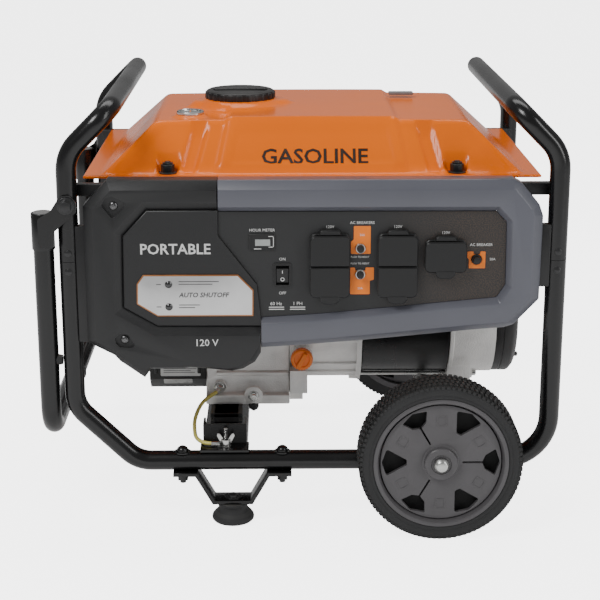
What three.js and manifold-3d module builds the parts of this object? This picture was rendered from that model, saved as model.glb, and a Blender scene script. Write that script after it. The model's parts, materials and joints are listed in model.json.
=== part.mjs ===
// Portable generator: tubular steel frame on two wheels and two feet, air-cooled engine,
// alternator, steel fuel tank and a moulded control panel with covered outlets.
// Millimetres, +Z up, +X to the right of the panel, -Y out of the panel.
// The origin is on the ground, under the centre of the whole machine.
import * as THREE from 'three';
import { mergeVertices } from 'three/addons/utils/BufferGeometryUtils.js';
import Module from 'manifold-3d';

const wasm = await Module();
wasm.setup();

// ---- driving dimensions -------------------------------------------------------------------
const gap = 0.3;              // between pieces that touch
const tubeR = 12.7;           // frame tube, outside
const frameX = 304.5;         // upright centre line, from the middle
const frameY = 218.4;         // plane of the front loop, and of the rear one
const hoopBend = 50;          // bend radius at the knee of a top hoop
const gripBend = 30;          // bend radius at the ends of its handle
const cornerBend = 58;        // bend radius at the lower right corner
const cutBend = 42;           // the two bends of the lower left corner
const cutX = 78;              // the cut corner, along the rail
const cutZ = 76;              // the cut corner, up the upright

const wheelR = 104;
const wheelX = 159.5;
const tyreWidth = 52;
const tyreWall = 18;          // tread to rim seat
const wheelClear = 5;         // frame to tyre
const axleR = 6.35;
const axleFit = 0.25;         // wheel bore on the axle
const axleEnd = 9;            // head past the wheel hub

const footX = -104.4;
const footHeight = 27;
const footBoltSpan = 129.2;

const handleArmX = 31.5;      // arm centre line, outside the upright
const handleArmTop = 15;      // arm end, below the pivot
const plateThick = 3;

const alternatorR = 90;
const bore = 60;              // stator bore, radius
const airGap = 1;             // rotor to stator
const shaftR = 12.5;

const sheet = 2;              // tank steel with its paint
const tankBoltX = 183.5;
const capX = -94.5;
const capR = 47.5;

const panelDepth = 33;
const panelWall = 3;
const faceRecess = 8;
const splitX = -118.6;        // line between the black section and the bezel
const sideClear = 8;          // upright to panel

// ---- heights, from the wheels up, and what follows the frame ---------------------------------
const railZ = wheelR - axleR - tubeR - 0.95;   // the axle lies on the bottom rails
const railTop = railZ + tubeR;
const railBottom = railZ - tubeR;
const shaftZ = railTop + 38.3 + alternatorR;   // crankshaft axis
const panZ = shaftZ - 105;                     // underside of the crankcase
const tankBottomZ = shaftZ + 173;
const seamZ = tankBottomZ + 50;
const tankTopZ = seamZ + 67;
const panelTop = seamZ + 8;
const jointZ = seamZ - 96;                     // where the top hoops meet the lower loops
const kneeZ = seamZ + 38;                      // where an upright turns 45 degrees in
const topZ = kneeZ + 55;                       // centre line of the handle cross tubes
const handlePivotZ = seamZ - 23;
const handleGripZ = railZ + 42.4;
const tankX = frameX - 16.5;                   // seam flange, half length
const tankY = frameY - 46.4;                   // seam flange, half depth
const tankTopX = tankX - 88;
const tankTopY = tankY - 50;
const tankBoltY = tankY - 12;
const panelFront = -frameY - 21.6;
const tyreInner = wheelR - tyreWall;           // rim seat

// ---- materials -----------------------------------------------------------------------------
const finish = (color, roughness, metalness) =>
  new THREE.MeshStandardMaterial({ color, roughness, metalness });
const framePaint = finish(0x151515, 0.35, 0.4);
const tankPaint = finish(0xe07020, 0.3, 0.2);
const blackPlastic = finish(0x303030, 0.6, 0);
const greyPlastic = finish(0x5c606c, 0.5, 0);
const rimPlastic = finish(0x5e5b5f, 0.5, 0);
const rubber = finish(0x242424, 0.85, 0);
const castAlloy = finish(0xa8a8a4, 0.45, 0.8);
const plated = finish(0xc8c8c8, 0.25, 0.9);
const darkSteel = finish(0x2c2c2c, 0.5, 0.6);
const orangePlastic = finish(0xd85a18, 0.45, 0);
const wireJacket = finish(0xcfc45a, 0.5, 0);

// ---- geometry helpers ----------------------------------------------------------------------
// One closed geometry: shared vertices merged, slivers dropped, faces pointing out.
function closed(source) {
  const bare = source.clone();
  bare.deleteAttribute('normal');
  bare.deleteAttribute('uv');
  const merged = mergeVertices(bare, 1e-4);
  const p = merged.attributes.position;
  const a = new THREE.Vector3();
  const b = new THREE.Vector3();
  const c = new THREE.Vector3();
  const kept = [];
  let volume = 0;
  for (let i = 0; i < merged.index.count; i += 3) {
    const [u, v, w] = [0, 1, 2].map((k) => merged.index.getX(i + k));
    if (u === v || v === w || w === u) continue;
    kept.push(u, v, w);
    a.fromBufferAttribute(p, u);
    b.fromBufferAttribute(p, v);
    c.fromBufferAttribute(p, w);
    volume += a.dot(b.cross(c));
  }
  if (volume < 0) {
    for (let i = 0; i < kept.length; i += 3) [kept[i], kept[i + 1]] = [kept[i + 1], kept[i]];
  }
  merged.setIndex(kept);
  return merged;
}

function solid(geometry) {
  const g = closed(geometry);
  return new wasm.Manifold(new wasm.Mesh({
    numProp: 3,
    vertProperties: new Float32Array(g.attributes.position.array),
    triVerts: new Uint32Array(g.index.array),
  }));
}

function geometryOf(manifold) {
  const mesh = manifold.getMesh();
  const g = new THREE.BufferGeometry();
  g.setAttribute('position', new THREE.BufferAttribute(new Float32Array(mesh.vertProperties), 3));
  g.setIndex(Array.from(mesh.triVerts));
  return g;
}

const join = (...shapes) => geometryOf(shapes.map(solid).reduce((sum, s) => sum.add(s)));
const cut = (shape, ...tools) =>
  geometryOf(tools.map(solid).reduce((rest, t) => rest.subtract(t), solid(shape)));

// A box between two corners.
function block(x0, x1, y0, y1, z0, z1) {
  const g = new THREE.BoxGeometry(x1 - x0, y1 - y0, z1 - z0);
  return g.translate((x0 + x1) / 2, (y0 + y1) / 2, (z0 + z1) / 2);
}

// Round bars along each axis, from one end to the other.
const rodX = (r, x0, x1, y, z, sides = 16) =>
  new THREE.CylinderGeometry(r, r, x1 - x0, sides).rotateZ(Math.PI / 2).translate((x0 + x1) / 2, y, z);
const rodY = (r, x, y0, y1, z, sides = 16) =>
  new THREE.CylinderGeometry(r, r, y1 - y0, sides).translate(x, (y0 + y1) / 2, z);
const rodZ = (r, x, y, z0, z1, sides = 16) =>
  new THREE.CylinderGeometry(r, r, z1 - z0, sides).rotateX(Math.PI / 2).translate(x, y, (z0 + z1) / 2);

const shapeOf = (points) => new THREE.Shape(points.map(([a, b]) => new THREE.Vector2(a, b)));
const extrude = (points, depth) =>
  new THREE.ExtrudeGeometry(shapeOf(points), { depth, bevelEnabled: false });

// An outline of (x, z) points given a thickness along Y.
const plateY = (points, y0, y1) =>
  extrude(points, y1 - y0).rotateX(Math.PI / 2).translate(0, y1, 0);
// An outline of (y, z) points given a length along X.
const toX = new THREE.Matrix4().set(0, 0, 1, 0, 1, 0, 0, 0, 0, 1, 0, 0, 0, 0, 0, 1);
const barX = (points, x0, x1) => extrude(points, x1 - x0).applyMatrix4(toX).translate(x0, 0, 0);
// An outline of (x, y) points given a height along Z.
const slabZ = (points, z0, z1) => extrude(points, z1 - z0).translate(0, 0, z0);

// A turned piece from (radius, height) points, its axis along Y, Z or X.
const lathe = (profile, sides) =>
  new THREE.LatheGeometry(profile.map(([r, h]) => new THREE.Vector2(r, h)), sides);
const turnedY = (profile, x, z, sides = 24) => lathe(profile, sides).translate(x, 0, z);
const turnedZ = (profile, x, y, sides = 20) =>
  lathe(profile, sides).rotateX(Math.PI / 2).translate(x, y, 0);
const turnedX = (profile, y, z, sides = 24) =>
  lathe(profile, sides).rotateZ(-Math.PI / 2).translate(0, y, z);

// The outline moved inwards by a wall, corner by corner, for a counterclockwise outline.
function inset(points, wall) {
  const n = points.length;
  return points.map((p, i) => {
    const prev = points[(i + n - 1) % n];
    const next = points[(i + 1) % n];
    const d1 = new THREE.Vector2(p[0] - prev[0], p[1] - prev[1]).normalize();
    const d2 = new THREE.Vector2(next[0] - p[0], next[1] - p[1]).normalize();
    const n1 = new THREE.Vector2(-d1.y, d1.x);
    const n2 = new THREE.Vector2(-d2.y, d2.x);
    const mid = n1.clone().add(n2);
    mid.multiplyScalar(wall / (1 + n1.dot(n2)));
    return [p[0] + mid.x, p[1] + mid.y];
  });
}

// A route of straight stretches with round bends, for tubes.
class Route extends THREE.Curve {
  constructor(corners, radii, stepsPerBend) {
    super();
    const at = corners.map((c) => new THREE.Vector3(...c));
    this.points = [at[0]];
    for (let i = 1; i < at.length - 1; i += 1) {
      const back = at[i - 1].clone().sub(at[i]).normalize();
      const on = at[i + 1].clone().sub(at[i]).normalize();
      const half = Math.acos(THREE.MathUtils.clamp(back.dot(on), -1, 1)) / 2;
      const r = radii[i - 1];
      const reach = r / Math.tan(half);
      const centre = back.clone().add(on).normalize().multiplyScalar(r / Math.sin(half)).add(at[i]);
      const from = at[i].clone().addScaledVector(back, reach).sub(centre);
      const to = at[i].clone().addScaledVector(on, reach).sub(centre);
      const turn = Math.PI - 2 * half;
      for (let k = 0; k <= stepsPerBend; k += 1) {
        const t = (k / stepsPerBend) * turn;
        const point = from.clone().multiplyScalar(Math.sin(turn - t) / Math.sin(turn));
        point.addScaledVector(to, Math.sin(t) / Math.sin(turn)).add(centre);
        this.points.push(point);
      }
    }
    this.points.push(at[at.length - 1]);
  }

  getUtoTmapping(u) {
    return u;
  }

  getPoint(t, target = new THREE.Vector3()) {
    const last = this.points.length - 1;
    const i = Math.min(Math.floor(t * last + 1e-9), last - 1);
    return target.lerpVectors(this.points[i], this.points[i + 1], t * last - i);
  }

  getTangent(t, target = new THREE.Vector3()) {
    const last = this.points.length - 1;
    const i = Math.round(t * last);
    const before = this.points[Math.max(i - 1, 0)];
    const after = this.points[Math.min(i + 1, last)];
    const here = this.points[i];
    target.set(0, 0, 0);
    if (i > 0) target.add(here.clone().sub(before).normalize());
    if (i < last) target.add(after.clone().sub(here).normalize());
    return target.normalize();
  }
}

function tube(corners, radii, r, { sides = 12, stepsPerBend = 4 } = {}) {
  const route = new Route(corners, radii, stepsPerBend);
  const ring = new THREE.Shape();
  for (let i = 0; i < sides; i += 1) {
    const angle = (i / sides) * 2 * Math.PI;
    if (i === 0) ring.moveTo(r, 0);
    else ring.lineTo(r * Math.cos(angle), r * Math.sin(angle));
  }
  return new THREE.ExtrudeGeometry(ring, {
    steps: route.points.length - 1,
    extrudePath: route,
    bevelEnabled: false,
  });
}

const generator = new THREE.Group();

function add(name, geometry, material) {
  const mesh = new THREE.Mesh(closed(geometry), material);
  mesh.name = name;
  generator.add(mesh);
}

// ---- frame ---------------------------------------------------------------------------------
const boltX = [footX - footBoltSpan / 2, footX + footBoltSpan / 2];

// One lower loop: upright, cut left corner, bottom rail, round right corner, upright. The
// dome heads of the foot bolts and the axle saddle are on its rail.
function lowerLoop(side) {
  const y = side * frameY;
  const loop = tube([
    [-frameX, y, jointZ - gap / 2],
    [-frameX, y, railZ + cutZ],
    [-frameX + cutX, y, railZ],
    [frameX, y, railZ],
    [frameX, y, jointZ - gap / 2],
  ], [cutBend, cutBend, cornerBend], tubeR);
  const pieces = [loop];
  for (const x of boltX) {
    pieces.push(rodZ(7.5, x, y, railZ, railTop + 3, 12), rodZ(5, x, y, railZ, railTop + 7, 12));
  }
  const saddle = cut(
    block(wheelX - 17, wheelX + 17, y - tubeR + 2, y + tubeR - 2, railZ, wheelR + 13),
    rodY(axleR + axleFit, wheelX, y - tubeR, y + tubeR, wheelR, 16),
  );
  return join(...pieces, saddle);
}

// One top hoop: up a front upright, in at 45 degrees, across as a handle and down the rear.
function topHoop(side) {
  const inX = frameX - (topZ - kneeZ);
  return tube([
    [side * frameX, -frameY, jointZ + gap / 2],
    [side * frameX, -frameY, kneeZ],
    [side * inX, -frameY, topZ],
    [side * inX, frameY, topZ],
    [side * frameX, frameY, kneeZ],
    [side * frameX, frameY, jointZ + gap / 2],
  ], [hoopBend, gripBend, gripBend, hoopBend], tubeR);
}

add('frame_front', lowerLoop(-1), framePaint);
add('frame_rear', lowerLoop(1), framePaint);
add('handle_hoop_left', topHoop(-1), framePaint);
add('handle_hoop_right', topHoop(1), framePaint);

// The tube that ties the two loops together at the cut corner.
const acrossY = frameY - tubeR - gap;
add('cross_tube', rodY(tubeR - 1, -frameX, -acrossY, acrossY, railZ + cutZ + 40, 16), framePaint);

// Two channels cross from rail to rail and carry the engine and the alternator on rubber.
const channelHeight = 24;
const engineRailX = -114.5;
const engineRailHalf = 28.5;
const earthStudY = -frameY + 6.4;
const earthFlange = 3;
const studR = 3;
const studTop = railTop + gap + earthFlange + 24;
const engineChannel = block(engineRailX - engineRailHalf, engineRailX + engineRailHalf,
  -acrossY, acrossY, railTop - channelHeight, railTop);
const mountFlange = block(engineRailX - engineRailHalf - 3, engineRailX + engineRailHalf + 3,
  -frameY - 8, -acrossY + 9, railTop + gap, railTop + gap + earthFlange);
const mountWeb = block(engineRailX - engineRailHalf, engineRailX + engineRailHalf,
  -acrossY + 6, -acrossY + 9, railTop - 5, railTop + 29);
const mountCheeks = [-1, 1].map((s) => block(
  engineRailX + s * (engineRailHalf - 1.5) - 1.5, engineRailX + s * (engineRailHalf - 1.5) + 1.5,
  -acrossY + 6, -acrossY + 32, railTop - 5, railTop + 29));
const earthStud = rodZ(studR, engineRailX + 1.5, earthStudY, railTop + gap + 1, studTop, 12);
add('engine_rail', join(engineChannel, mountFlange, mountWeb, ...mountCheeks, earthStud), framePaint);

const alternatorRailX = 206;
const alternatorRailHalf = 16;
add('alternator_rail', block(alternatorRailX - alternatorRailHalf, alternatorRailX + alternatorRailHalf,
  -acrossY, acrossY, railTop - channelHeight, railTop), framePaint);

// ---- feet ----------------------------------------------------------------------------------
const strap = 5;
const strapHalf = 15;
const padZ = railBottom - gap;
const barHalf = 26;
const legRun = 20;

// A bent strap under the rail: two pads with nuts, two legs and a bar over the rubber foot.
function footBracket(side) {
  const y = side * frameY;
  const low = footHeight + gap;
  const padEnd = footBoltSpan / 2 + 12;
  const half = [
    [barHalf, low], [barHalf + legRun + 2, padZ - strap], [padEnd, padZ - strap], [padEnd, padZ],
    [barHalf + legRun - 1, padZ], [barHalf - 3, low + strap],
  ];
  const outline = [
    ...half,
    ...[...half].reverse().map(([x, z]) => [-x, z]),
  ].map(([x, z]) => [x + footX, z]);
  const nuts = boltX.flatMap((x) => [
    rodZ(7.5, x, y, padZ - strap - 9, padZ - 1, 6),
    rodZ(4, x, y, padZ - strap - 13, padZ - 2, 10),
  ]);
  return join(plateY(outline, y - strapHalf, y + strapHalf), ...nuts);
}

const footProfile = [
  [0, 0], [22, 0], [26, 3], [27.6, 8], [26.6, 13], [22.6, 18], [20.5, 22], [20.8, footHeight],
  [0, footHeight],
];
for (const [name, side] of [['front', -1], ['rear', 1]]) {
  add(`foot_bracket_${name}`, footBracket(side), framePaint);
  add(`foot_${name}`, turnedZ(footProfile, footX, side * frameY), rubber);
}

// ---- wheels --------------------------------------------------------------------------------
const tyreIn = frameY + tubeR + wheelClear;
const tyreOut = tyreIn + tyreWidth;
const hubOut = tyreOut + 2;
const wheelSides = 32;

// The axle is one bar with a dome head at each end, over both rails in their saddles.
const axleTip = hubOut + gap + axleEnd;
add('axle', turnedY([
  [0, -axleTip], [6.5, -axleTip + 1], [9.8, -axleTip + 5], [9.8, -hubOut - gap],
  [axleR, -hubOut - gap], [axleR, hubOut + gap],
  [9.8, hubOut + gap], [9.8, axleTip - 5], [6.5, axleTip - 1], [0, axleTip],
], wheelX, wheelR, 16), plated);

// The rim: lip, dished web, hub tube and six raised spoke pads between six windows.
function rim() {
  const body = turnedY([
    [axleR + axleFit, tyreIn + 4], [17, tyreIn + 4], [17, tyreOut - 16], [tyreInner - 8, tyreOut - 12],
    [tyreInner - 8, tyreIn], [tyreInner - gap, tyreIn], [tyreInner - gap, tyreOut],
    [tyreInner - 6, tyreOut], [tyreInner - 8, tyreOut - 5], [22, tyreOut - 9], [21, hubOut],
    [axleR + axleFit, hubOut], [axleR + axleFit, tyreIn + 4],
  ], 0, 0, wheelSides);
  const windows = [];
  for (let i = 0; i < 6; i += 1) {
    const wide = i % 2 === 1;
    const outline = wide
      ? [[tyreInner - 15, -13], [tyreInner - 11, 0], [tyreInner - 15, 13], [42, 3], [42, -3]]
      : [[tyreInner - 15, -12], [tyreInner - 11, 0], [tyreInner - 15, 12], [61, 5], [61, -5]];
    windows.push(plateY(outline, tyreIn, tyreOut).rotateY(-(i * Math.PI) / 3));
  }
  return cut(body, ...windows);
}

const tyreProfile = [
  [tyreInner, tyreIn], [wheelR - 6, tyreIn], [wheelR, tyreIn + 6], [wheelR, tyreOut - 6],
  [wheelR - 6, tyreOut], [tyreInner, tyreOut], [tyreInner, tyreIn],
];
for (const [name, turn] of [['front', Math.PI], ['rear', 0]]) {
  add(`rim_${name}`, rim().rotateZ(turn).translate(wheelX, 0, wheelR), rimPlastic);
  const tyre = turnedY(tyreProfile, 0, 0, wheelSides);
  add(`tyre_${name}`, tyre.rotateZ(turn).translate(wheelX, 0, wheelR), rubber);
}

// ---- pull handle -----------------------------------------------------------------------------
// A U of tube hangs from two plates, which turn on bolts in the left uprights.
const armX = -frameX - handleArmX;
const pinX = -frameX;
const gripTube = tube([
  [armX, -frameY, handlePivotZ - handleArmTop],
  [armX, -frameY, handleGripZ],
  [armX, frameY, handleGripZ],
  [armX, frameY, handlePivotZ - handleArmTop],
], [34, 34], tubeR);
const plateY0 = frameY + tubeR + gap;
const pivotR = 5;
const pivotFit = 0.3;

function handlePlate(side) {
  const [y0, y1] = [side * plateY0, side * (plateY0 + plateThick)].sort((a, b) => a - b);
  const [s0, s1] = [side * (frameY - tubeR - 0.6), side * (plateY0 + 1)].sort((a, b) => a - b);
  const low = handlePivotZ - handleArmTop - 43;
  const sleeve = block(armX - 14, armX + 16, s0, s1, low, handlePivotZ - handleArmTop - 0.5);
  const outline = [
    [armX - 14, low], [armX + 16, low], [armX + 16, handlePivotZ - 32], [pinX + 12, handlePivotZ - 8],
    [pinX + 13, handlePivotZ + 4], [pinX + 5, handlePivotZ + 13], [pinX - 7, handlePivotZ + 12],
    [armX - 2, handlePivotZ - 4], [armX - 14, handlePivotZ - 10],
  ];
  return join(plateY(outline, y0, y1), sleeve);
}

const pivotHole = rodY(pivotR + pivotFit, pinX, -plateY0 - 10, plateY0 + 10, handlePivotZ, 12);
add('pull_handle', cut(join(gripTube, handlePlate(-1), handlePlate(1)), pivotHole), framePaint);
for (const [name, side] of [['front', -1], ['rear', 1]]) {
  const inner = plateY0 - gap + 0.15;
  const shank = plateY0 + plateThick + gap;
  const [a, b] = [side * inner, side * (shank + 1)].sort((m, n) => m - n);
  const [c, d] = [side * shank, side * (shank + 2)].sort((m, n) => m - n);
  const [e, f] = [side * (shank + 1), side * (shank + 8)].sort((m, n) => m - n);
  add(`pivot_bolt_${name}`, join(
    rodY(pivotR, pinX, a, b, handlePivotZ, 12),
    rodY(11, pinX, c, d, handlePivotZ, 16),
    rodY(8, pinX, e, f, handlePivotZ, 6),
  ), plated);
}

// ---- fuel tank ---------------------------------------------------------------------------------
const rectangle = (x, y) => [[-x, -y], [x, -y], [x, y], [-x, y]];

// A frustum between two rectangles, the walls of a pressed shell.
function frustum(x0, y0, z0, x1, y1, z1) {
  const g = new THREE.BoxGeometry(1, 1, 1);
  const p = g.attributes.position;
  for (let i = 0; i < p.count; i += 1) {
    const up = p.getZ(i) > 0;
    p.setXYZ(i, Math.sign(p.getX(i)) * (up ? x1 : x0), Math.sign(p.getY(i)) * (up ? y1 : y0), up ? z1 : z0);
  }
  return g;
}

const flangeTop = seamZ + sheet;
const wallX = tankX - 22;     // foot of the sloping walls
const wallY = tankY - 8;
const neckR = 30;             // filler neck
const ringR = 58;
const boltSpots = [-1, 1].flatMap((a) => [-1, 1].map((b) => [a * tankBoltX, b * tankBoltY]));
const boltR = 4;
const boltHoles = boltSpots.map(([x, y]) => rodZ(boltR + 0.5, x, y, seamZ - 10, flangeTop + 20, 8));
// A pressed pocket in the wall over each bolt, cut from the outer form and left out of the inner.
const pocketBack = tankY - 23;
const pocketTop = flangeTop + 22;
const pocket = (x, y, wall) => block(x - 14 - wall, x + 14 + wall,
  ...[Math.sign(y) * (pocketBack - wall), Math.sign(y) * (tankY + 2)].sort((a, b) => a - b),
  flangeTop - wall, pocketTop + wall);
const gaugeX = -157.5;
const gaugeY = -88;
const gaugeR = 16;
const outerShell = join(
  slabZ(rectangle(tankX, tankY), seamZ + gap / 2, flangeTop),
  frustum(wallX, wallY, seamZ + 1, tankTopX, tankTopY, tankTopZ),
  rodZ(ringR, capX, 0, tankTopZ - 4, tankTopZ + 4, 24),
  rodZ(neckR + 3, capX, 0, tankTopZ - 4, tankTopZ + 8, 24),
);
const innerForm = cut(
  frustum(wallX - sheet, wallY - sheet, seamZ - 1, tankTopX - sheet, tankTopY - sheet, tankTopZ - sheet),
  ...boltSpots.map(([x, y]) => pocket(x, y, sheet)),
);
add('tank_upper', cut(outerShell,
  innerForm,
  rodZ(neckR, capX, 0, tankTopZ - 20, tankTopZ + 10, 24),
  rodZ(gaugeR + gap, gaugeX, gaugeY, tankTopZ - 10, tankTopZ + 10, 20),
  ...boltSpots.map(([x, y]) => pocket(x, y, 0)),
  ...boltHoles), tankPaint);

const innerX = wallX - 18;
const innerY = wallY - 24;
add('tank_lower', cut(join(
  slabZ(rectangle(tankX - 1, tankY - 1), seamZ - sheet, seamZ - gap / 2),
  block(-innerX, innerX, -innerY, innerY, tankBottomZ, seamZ - 1),
), block(-innerX + sheet, innerX - sheet, -innerY + sheet, innerY - sheet,
  tankBottomZ + sheet, seamZ + 5), ...boltHoles), tankPaint);

// Each tank rail crosses behind the uprights, with two bolts up through the seam flange.
const railDepth = 14;
const tankRailHeight = 15;
for (const [name, side] of [['front', -1], ['rear', 1]]) {
  const top = seamZ - sheet - gap;
  const outer = side * acrossY;
  const bar = block(-frameX, frameX, Math.min(outer, outer - side * railDepth),
    Math.max(outer, outer - side * railDepth), top - tankRailHeight, top);
  const parts = [bar];
  for (const x of [-tankBoltX, tankBoltX]) {
    const inner = side * (tankBoltY - 12);
    parts.push(block(x - 12, x + 12, Math.min(outer, inner), Math.max(outer, inner), top - 5, top));
    parts.push(rodZ(boltR, x, side * tankBoltY, top - 2, flangeTop + 16, 8));
    parts.push(rodZ(9, x, side * tankBoltY, flangeTop + gap, flangeTop + 12, 10));
  }
  add(`tank_rail_${name}`, join(...parts), framePaint);
}

// The screw cap over the filler neck.
const capBase = tankTopZ + 4 + gap;
add('fuel_cap', turnedZ([
  [0, tankTopZ + 8 + gap], [neckR + 3.5, tankTopZ + 8 + gap], [neckR + 3.5, capBase],
  [capR - 6, capBase], [capR, capBase + 3], [capR, capBase + 12], [capR - 5, capBase + 16], [0, capBase + 17],
], capX, 0, 24), blackPlastic);

add('fuel_gauge', turnedZ([
  [0, tankTopZ - 3], [gaugeR, tankTopZ - 3], [gaugeR, tankTopZ + gap], [gaugeR + 2, tankTopZ + gap],
  [gaugeR + 2, tankTopZ + 3], [gaugeR - 1, tankTopZ + 5], [0, tankTopZ + 5],
], gaugeX, gaugeY, 16), plated);

// The fuel valve's lever, under the left end of the tank.
const leverY = -90;
add('fuel_lever', join(
  rodX(9, -innerX - 12, -innerX - 2, leverY, tankBottomZ + 15, 16),
  block(-innerX - 12, -innerX - 7, leverY - 4, leverY + 4, tankBottomZ - 17, tankBottomZ + 15),
), blackPlastic);

// ---- control panel -------------------------------------------------------------------------------
const panelX = frameX - tubeR - sideClear;
const panelBack = panelFront + panelDepth;
const seam = gap / 2;         // each side of the line between two mouldings
// Outline points are (x, distance below the panel's top).
const below = ([x, drop]) => [x, panelTop - drop];
const leftOutline = [
  [splitX - seam, 0], [-panelX + 30, 0], [-panelX, 32], [-panelX, 206], [-panelX + 8.8, 212],
  [-panelX + 32.8, 224.5], [-panelX + 39.8, 232.5], [-213.5, 254.5], [-205.5, 243], [-165, 243],
  [-156, 241.2], [-143.6, 242], [-103, 246], [-89, 243], [-74, 234], [-66.6, 222],
  [-66.2 - seam, 175], [-70.7 - seam, 132], [splitX - seam, 69],
].map(below);
const bezelOuter = [
  [splitX + seam, 0], [splitX + seam, 39], [225, 39.5], [238.5, 54], [239.5, 133.5],
  [229, 150], [9, 170.5], [-66.2 + seam, 175], [-66.2 + seam, 215], [-20, 212.5], [62, 206],
  [200, 193], [240, 190], [252, 186], [panelX - 1, 153], [panelX, 46], [panelX - 5, 32],
  [panelX - 27, 6], [panelX - 38, 0],
].map(below);
const faceOutline = [
  [splitX + seam, 69], [-70.7 + seam, 132], [-66.2 + seam, 175 - gap], [9, 170.5 - gap],
  [229 - gap, 150 - gap], [239.5 - gap, 133.5], [238.5 - gap, 54 + gap], [225 - gap, 39.5 + gap],
  [splitX + seam, 39 + gap],
].map(below);

// A moulding with its front closed and its back open.
function tray(outline, wall, front, back) {
  const counter = THREE.ShapeUtils.area(outline.map(([a, b]) => new THREE.Vector2(a, b))) > 0
    ? outline : [...outline].reverse();
  return cut(plateY(counter, front, back), plateY(inset(counter, wall), front + wall, back + 5));
}

add('panel_left', tray(leftOutline, panelWall, panelFront, panelBack), blackPlastic);
add('panel_bezel', tray(bezelOuter, panelWall, panelFront, panelBack), greyPlastic);

// Outlets: a duplex pair has two flaps, a single outlet one. Each flap hangs from its top edge.
const faceY = panelFront + faceRecess;
const flapFront = faceY - 12;
const flapThick = 3;
const outlets = [
  { name: 'duplex_a', x: 20, width: 50, top: panelTop - 68, flaps: 2 },
  { name: 'duplex_b', x: 104, width: 50, top: panelTop - 68, flaps: 2 },
  { name: 'single', x: 163.5, width: 52, top: panelTop - 76, flaps: 1 },
];
const flapHeight = 40;
const frames = outlets.map(({ x, width, top, flaps }) => {
  const half = width / 2 - 3;
  const low = top - flaps * flapHeight + 2;
  return block(x - half, x + half, flapFront + flapThick + 4, faceY + 1, low, top - 2);
});
const breakers = [
  { name: 'a', x: 58, z: panelTop - 86.3 },
  { name: 'b', x: 58, z: panelTop - 119.6 },
  { name: 'c', x: 202.6, z: panelTop - 101 },
];
const buttonR = 4.5;
const buttonHoles = breakers.map(({ x, z }) => rodY(buttonR + 0.4, x, faceY - 1, faceY + 10, z, 10));
const switchSize = { x: -38.9, z: panelTop - 120.5, w: 15, h: 22 };
const switchHole = block(switchSize.x - switchSize.w / 2 - 0.5, switchSize.x + switchSize.w / 2 + 0.5,
  faceY - 1, faceY + 10, switchSize.z - switchSize.h / 2 - 1.5, switchSize.z + switchSize.h / 2 + 1.5);
add('panel_face', cut(join(plateY(faceOutline, faceY, faceY + panelWall), ...frames),
  ...buttonHoles, switchHole), blackPlastic);

for (const { name, x, width, top, flaps } of outlets) {
  for (let i = 0; i < flaps; i += 1) {
    const z1 = top - i * flapHeight - 0.5;
    const z0 = z1 - flapHeight + 1;
    const suffix = flaps > 1 ? `_${i + 1}` : '';
    const lid = block(x - width / 2, x + width / 2, flapFront, flapFront + flapThick, z0, z1);
    const tab = block(x - 12, x + 12, flapFront, flapFront + flapThick, z0 - 8, z0 + 5);
    add(`flap_${name}${suffix}`, i === flaps - 1 ? join(lid, tab) : lid, blackPlastic);
  }
}

for (const { name, x, z } of breakers) {
  add(`breaker_button_${name}`, join(
    rodY(buttonR, x, faceY - 8, faceY + 9, z, 12),
    rodY(buttonR + 2.5, x, faceY + 7, faceY + 10, z, 12),
  ), blackPlastic);
}

// The rocker turns on a cross axis just behind the face.
const rockerY = faceY + 4;
const rockerHalf = switchSize.h / 2;
add('rocker_switch', barX([
  [4, 4 - rockerHalf], [-5, 1.5 - rockerHalf], [-6.5, 0], [-9, rockerHalf - 1.5], [4, rockerHalf - 4],
].map(([y, z]) => [rockerY + y, switchSize.z + z]),
switchSize.x - switchSize.w / 2, switchSize.x + switchSize.w / 2), blackPlastic);

// The box behind the panel holds the wiring.
const boxFront = panelBack + gap;
const boxLow = panelTop - 164;
const boxHigh = panelTop - 48;
add('panel_box', cut(
  block(-100, 225, boxFront, boxFront + 50, boxLow, boxHigh),
  block(-98, 223, boxFront - 1, boxFront + 48, boxLow + 2, boxHigh - 2),
), darkSteel);

// ---- engine --------------------------------------------------------------------------------------
const caseLeft = -143;
const caseRight = -29;
const crankSpace = 70;
const lean = THREE.MathUtils.degToRad(-65);   // the cylinder lies back, 25 degrees above level
const leaned = (g) => g.rotateX(lean).translate(0, 0, shaftZ);
const barrelFoot = 78;
const crankcaseBody = join(
  barX([[-108, panZ], [100, panZ], [100, panZ + 12], [88, panZ + 12], [88, shaftZ + 45],
    [60, shaftZ + 77], [-45, shaftZ + 77], [-88, shaftZ + 37], [-88, panZ + 30], [-96, panZ + 12],
    [-108, panZ + 12]], caseLeft, caseRight),
  barX([[-92, panZ + 37], [-92, panZ + 43], [-80, panZ + 43], [-80, panZ + 37]],
    caseLeft + 20, caseRight - 0.5),
  rodY(8, -78, -114, -100, panZ + 14, 6),
);
add('crankcase', cut(crankcaseBody,
  rodX(crankSpace, caseLeft + 12, caseRight + 5, 0, shaftZ, 20),
  rodX(shaftR + 1, caseLeft - 5, caseLeft + 20, 0, shaftZ, 12),
  leaned(block(caseLeft - 5, caseRight + 5, -150, 150, barrelFoot, 300)),
), castAlloy);

// Barrel and head in one cast column, ringed by cooling fins, under the rocker cover.
const cylinderX = (caseLeft + caseRight) / 2;
const fins = Array.from({ length: 8 }, (_, i) => {
  const z = barrelFoot + 8 + i * 9.5;
  return block(cylinderX - 54, cylinderX + 54, -52, 52, z, z + 3);
});
add('cylinder', leaned(join(
  block(cylinderX - 42, cylinderX + 42, -42, 42, barrelFoot + gap, 161),
  ...fins,
  rodX(9, cylinderX + 30, cylinderX + 63, 0, 140, 10),
  block(cylinderX - 44, cylinderX + 44, -40, 40, 160, 165),
  block(cylinderX - 38, cylinderX + 38, -34, 34, 160, 180),
)), castAlloy);

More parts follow.
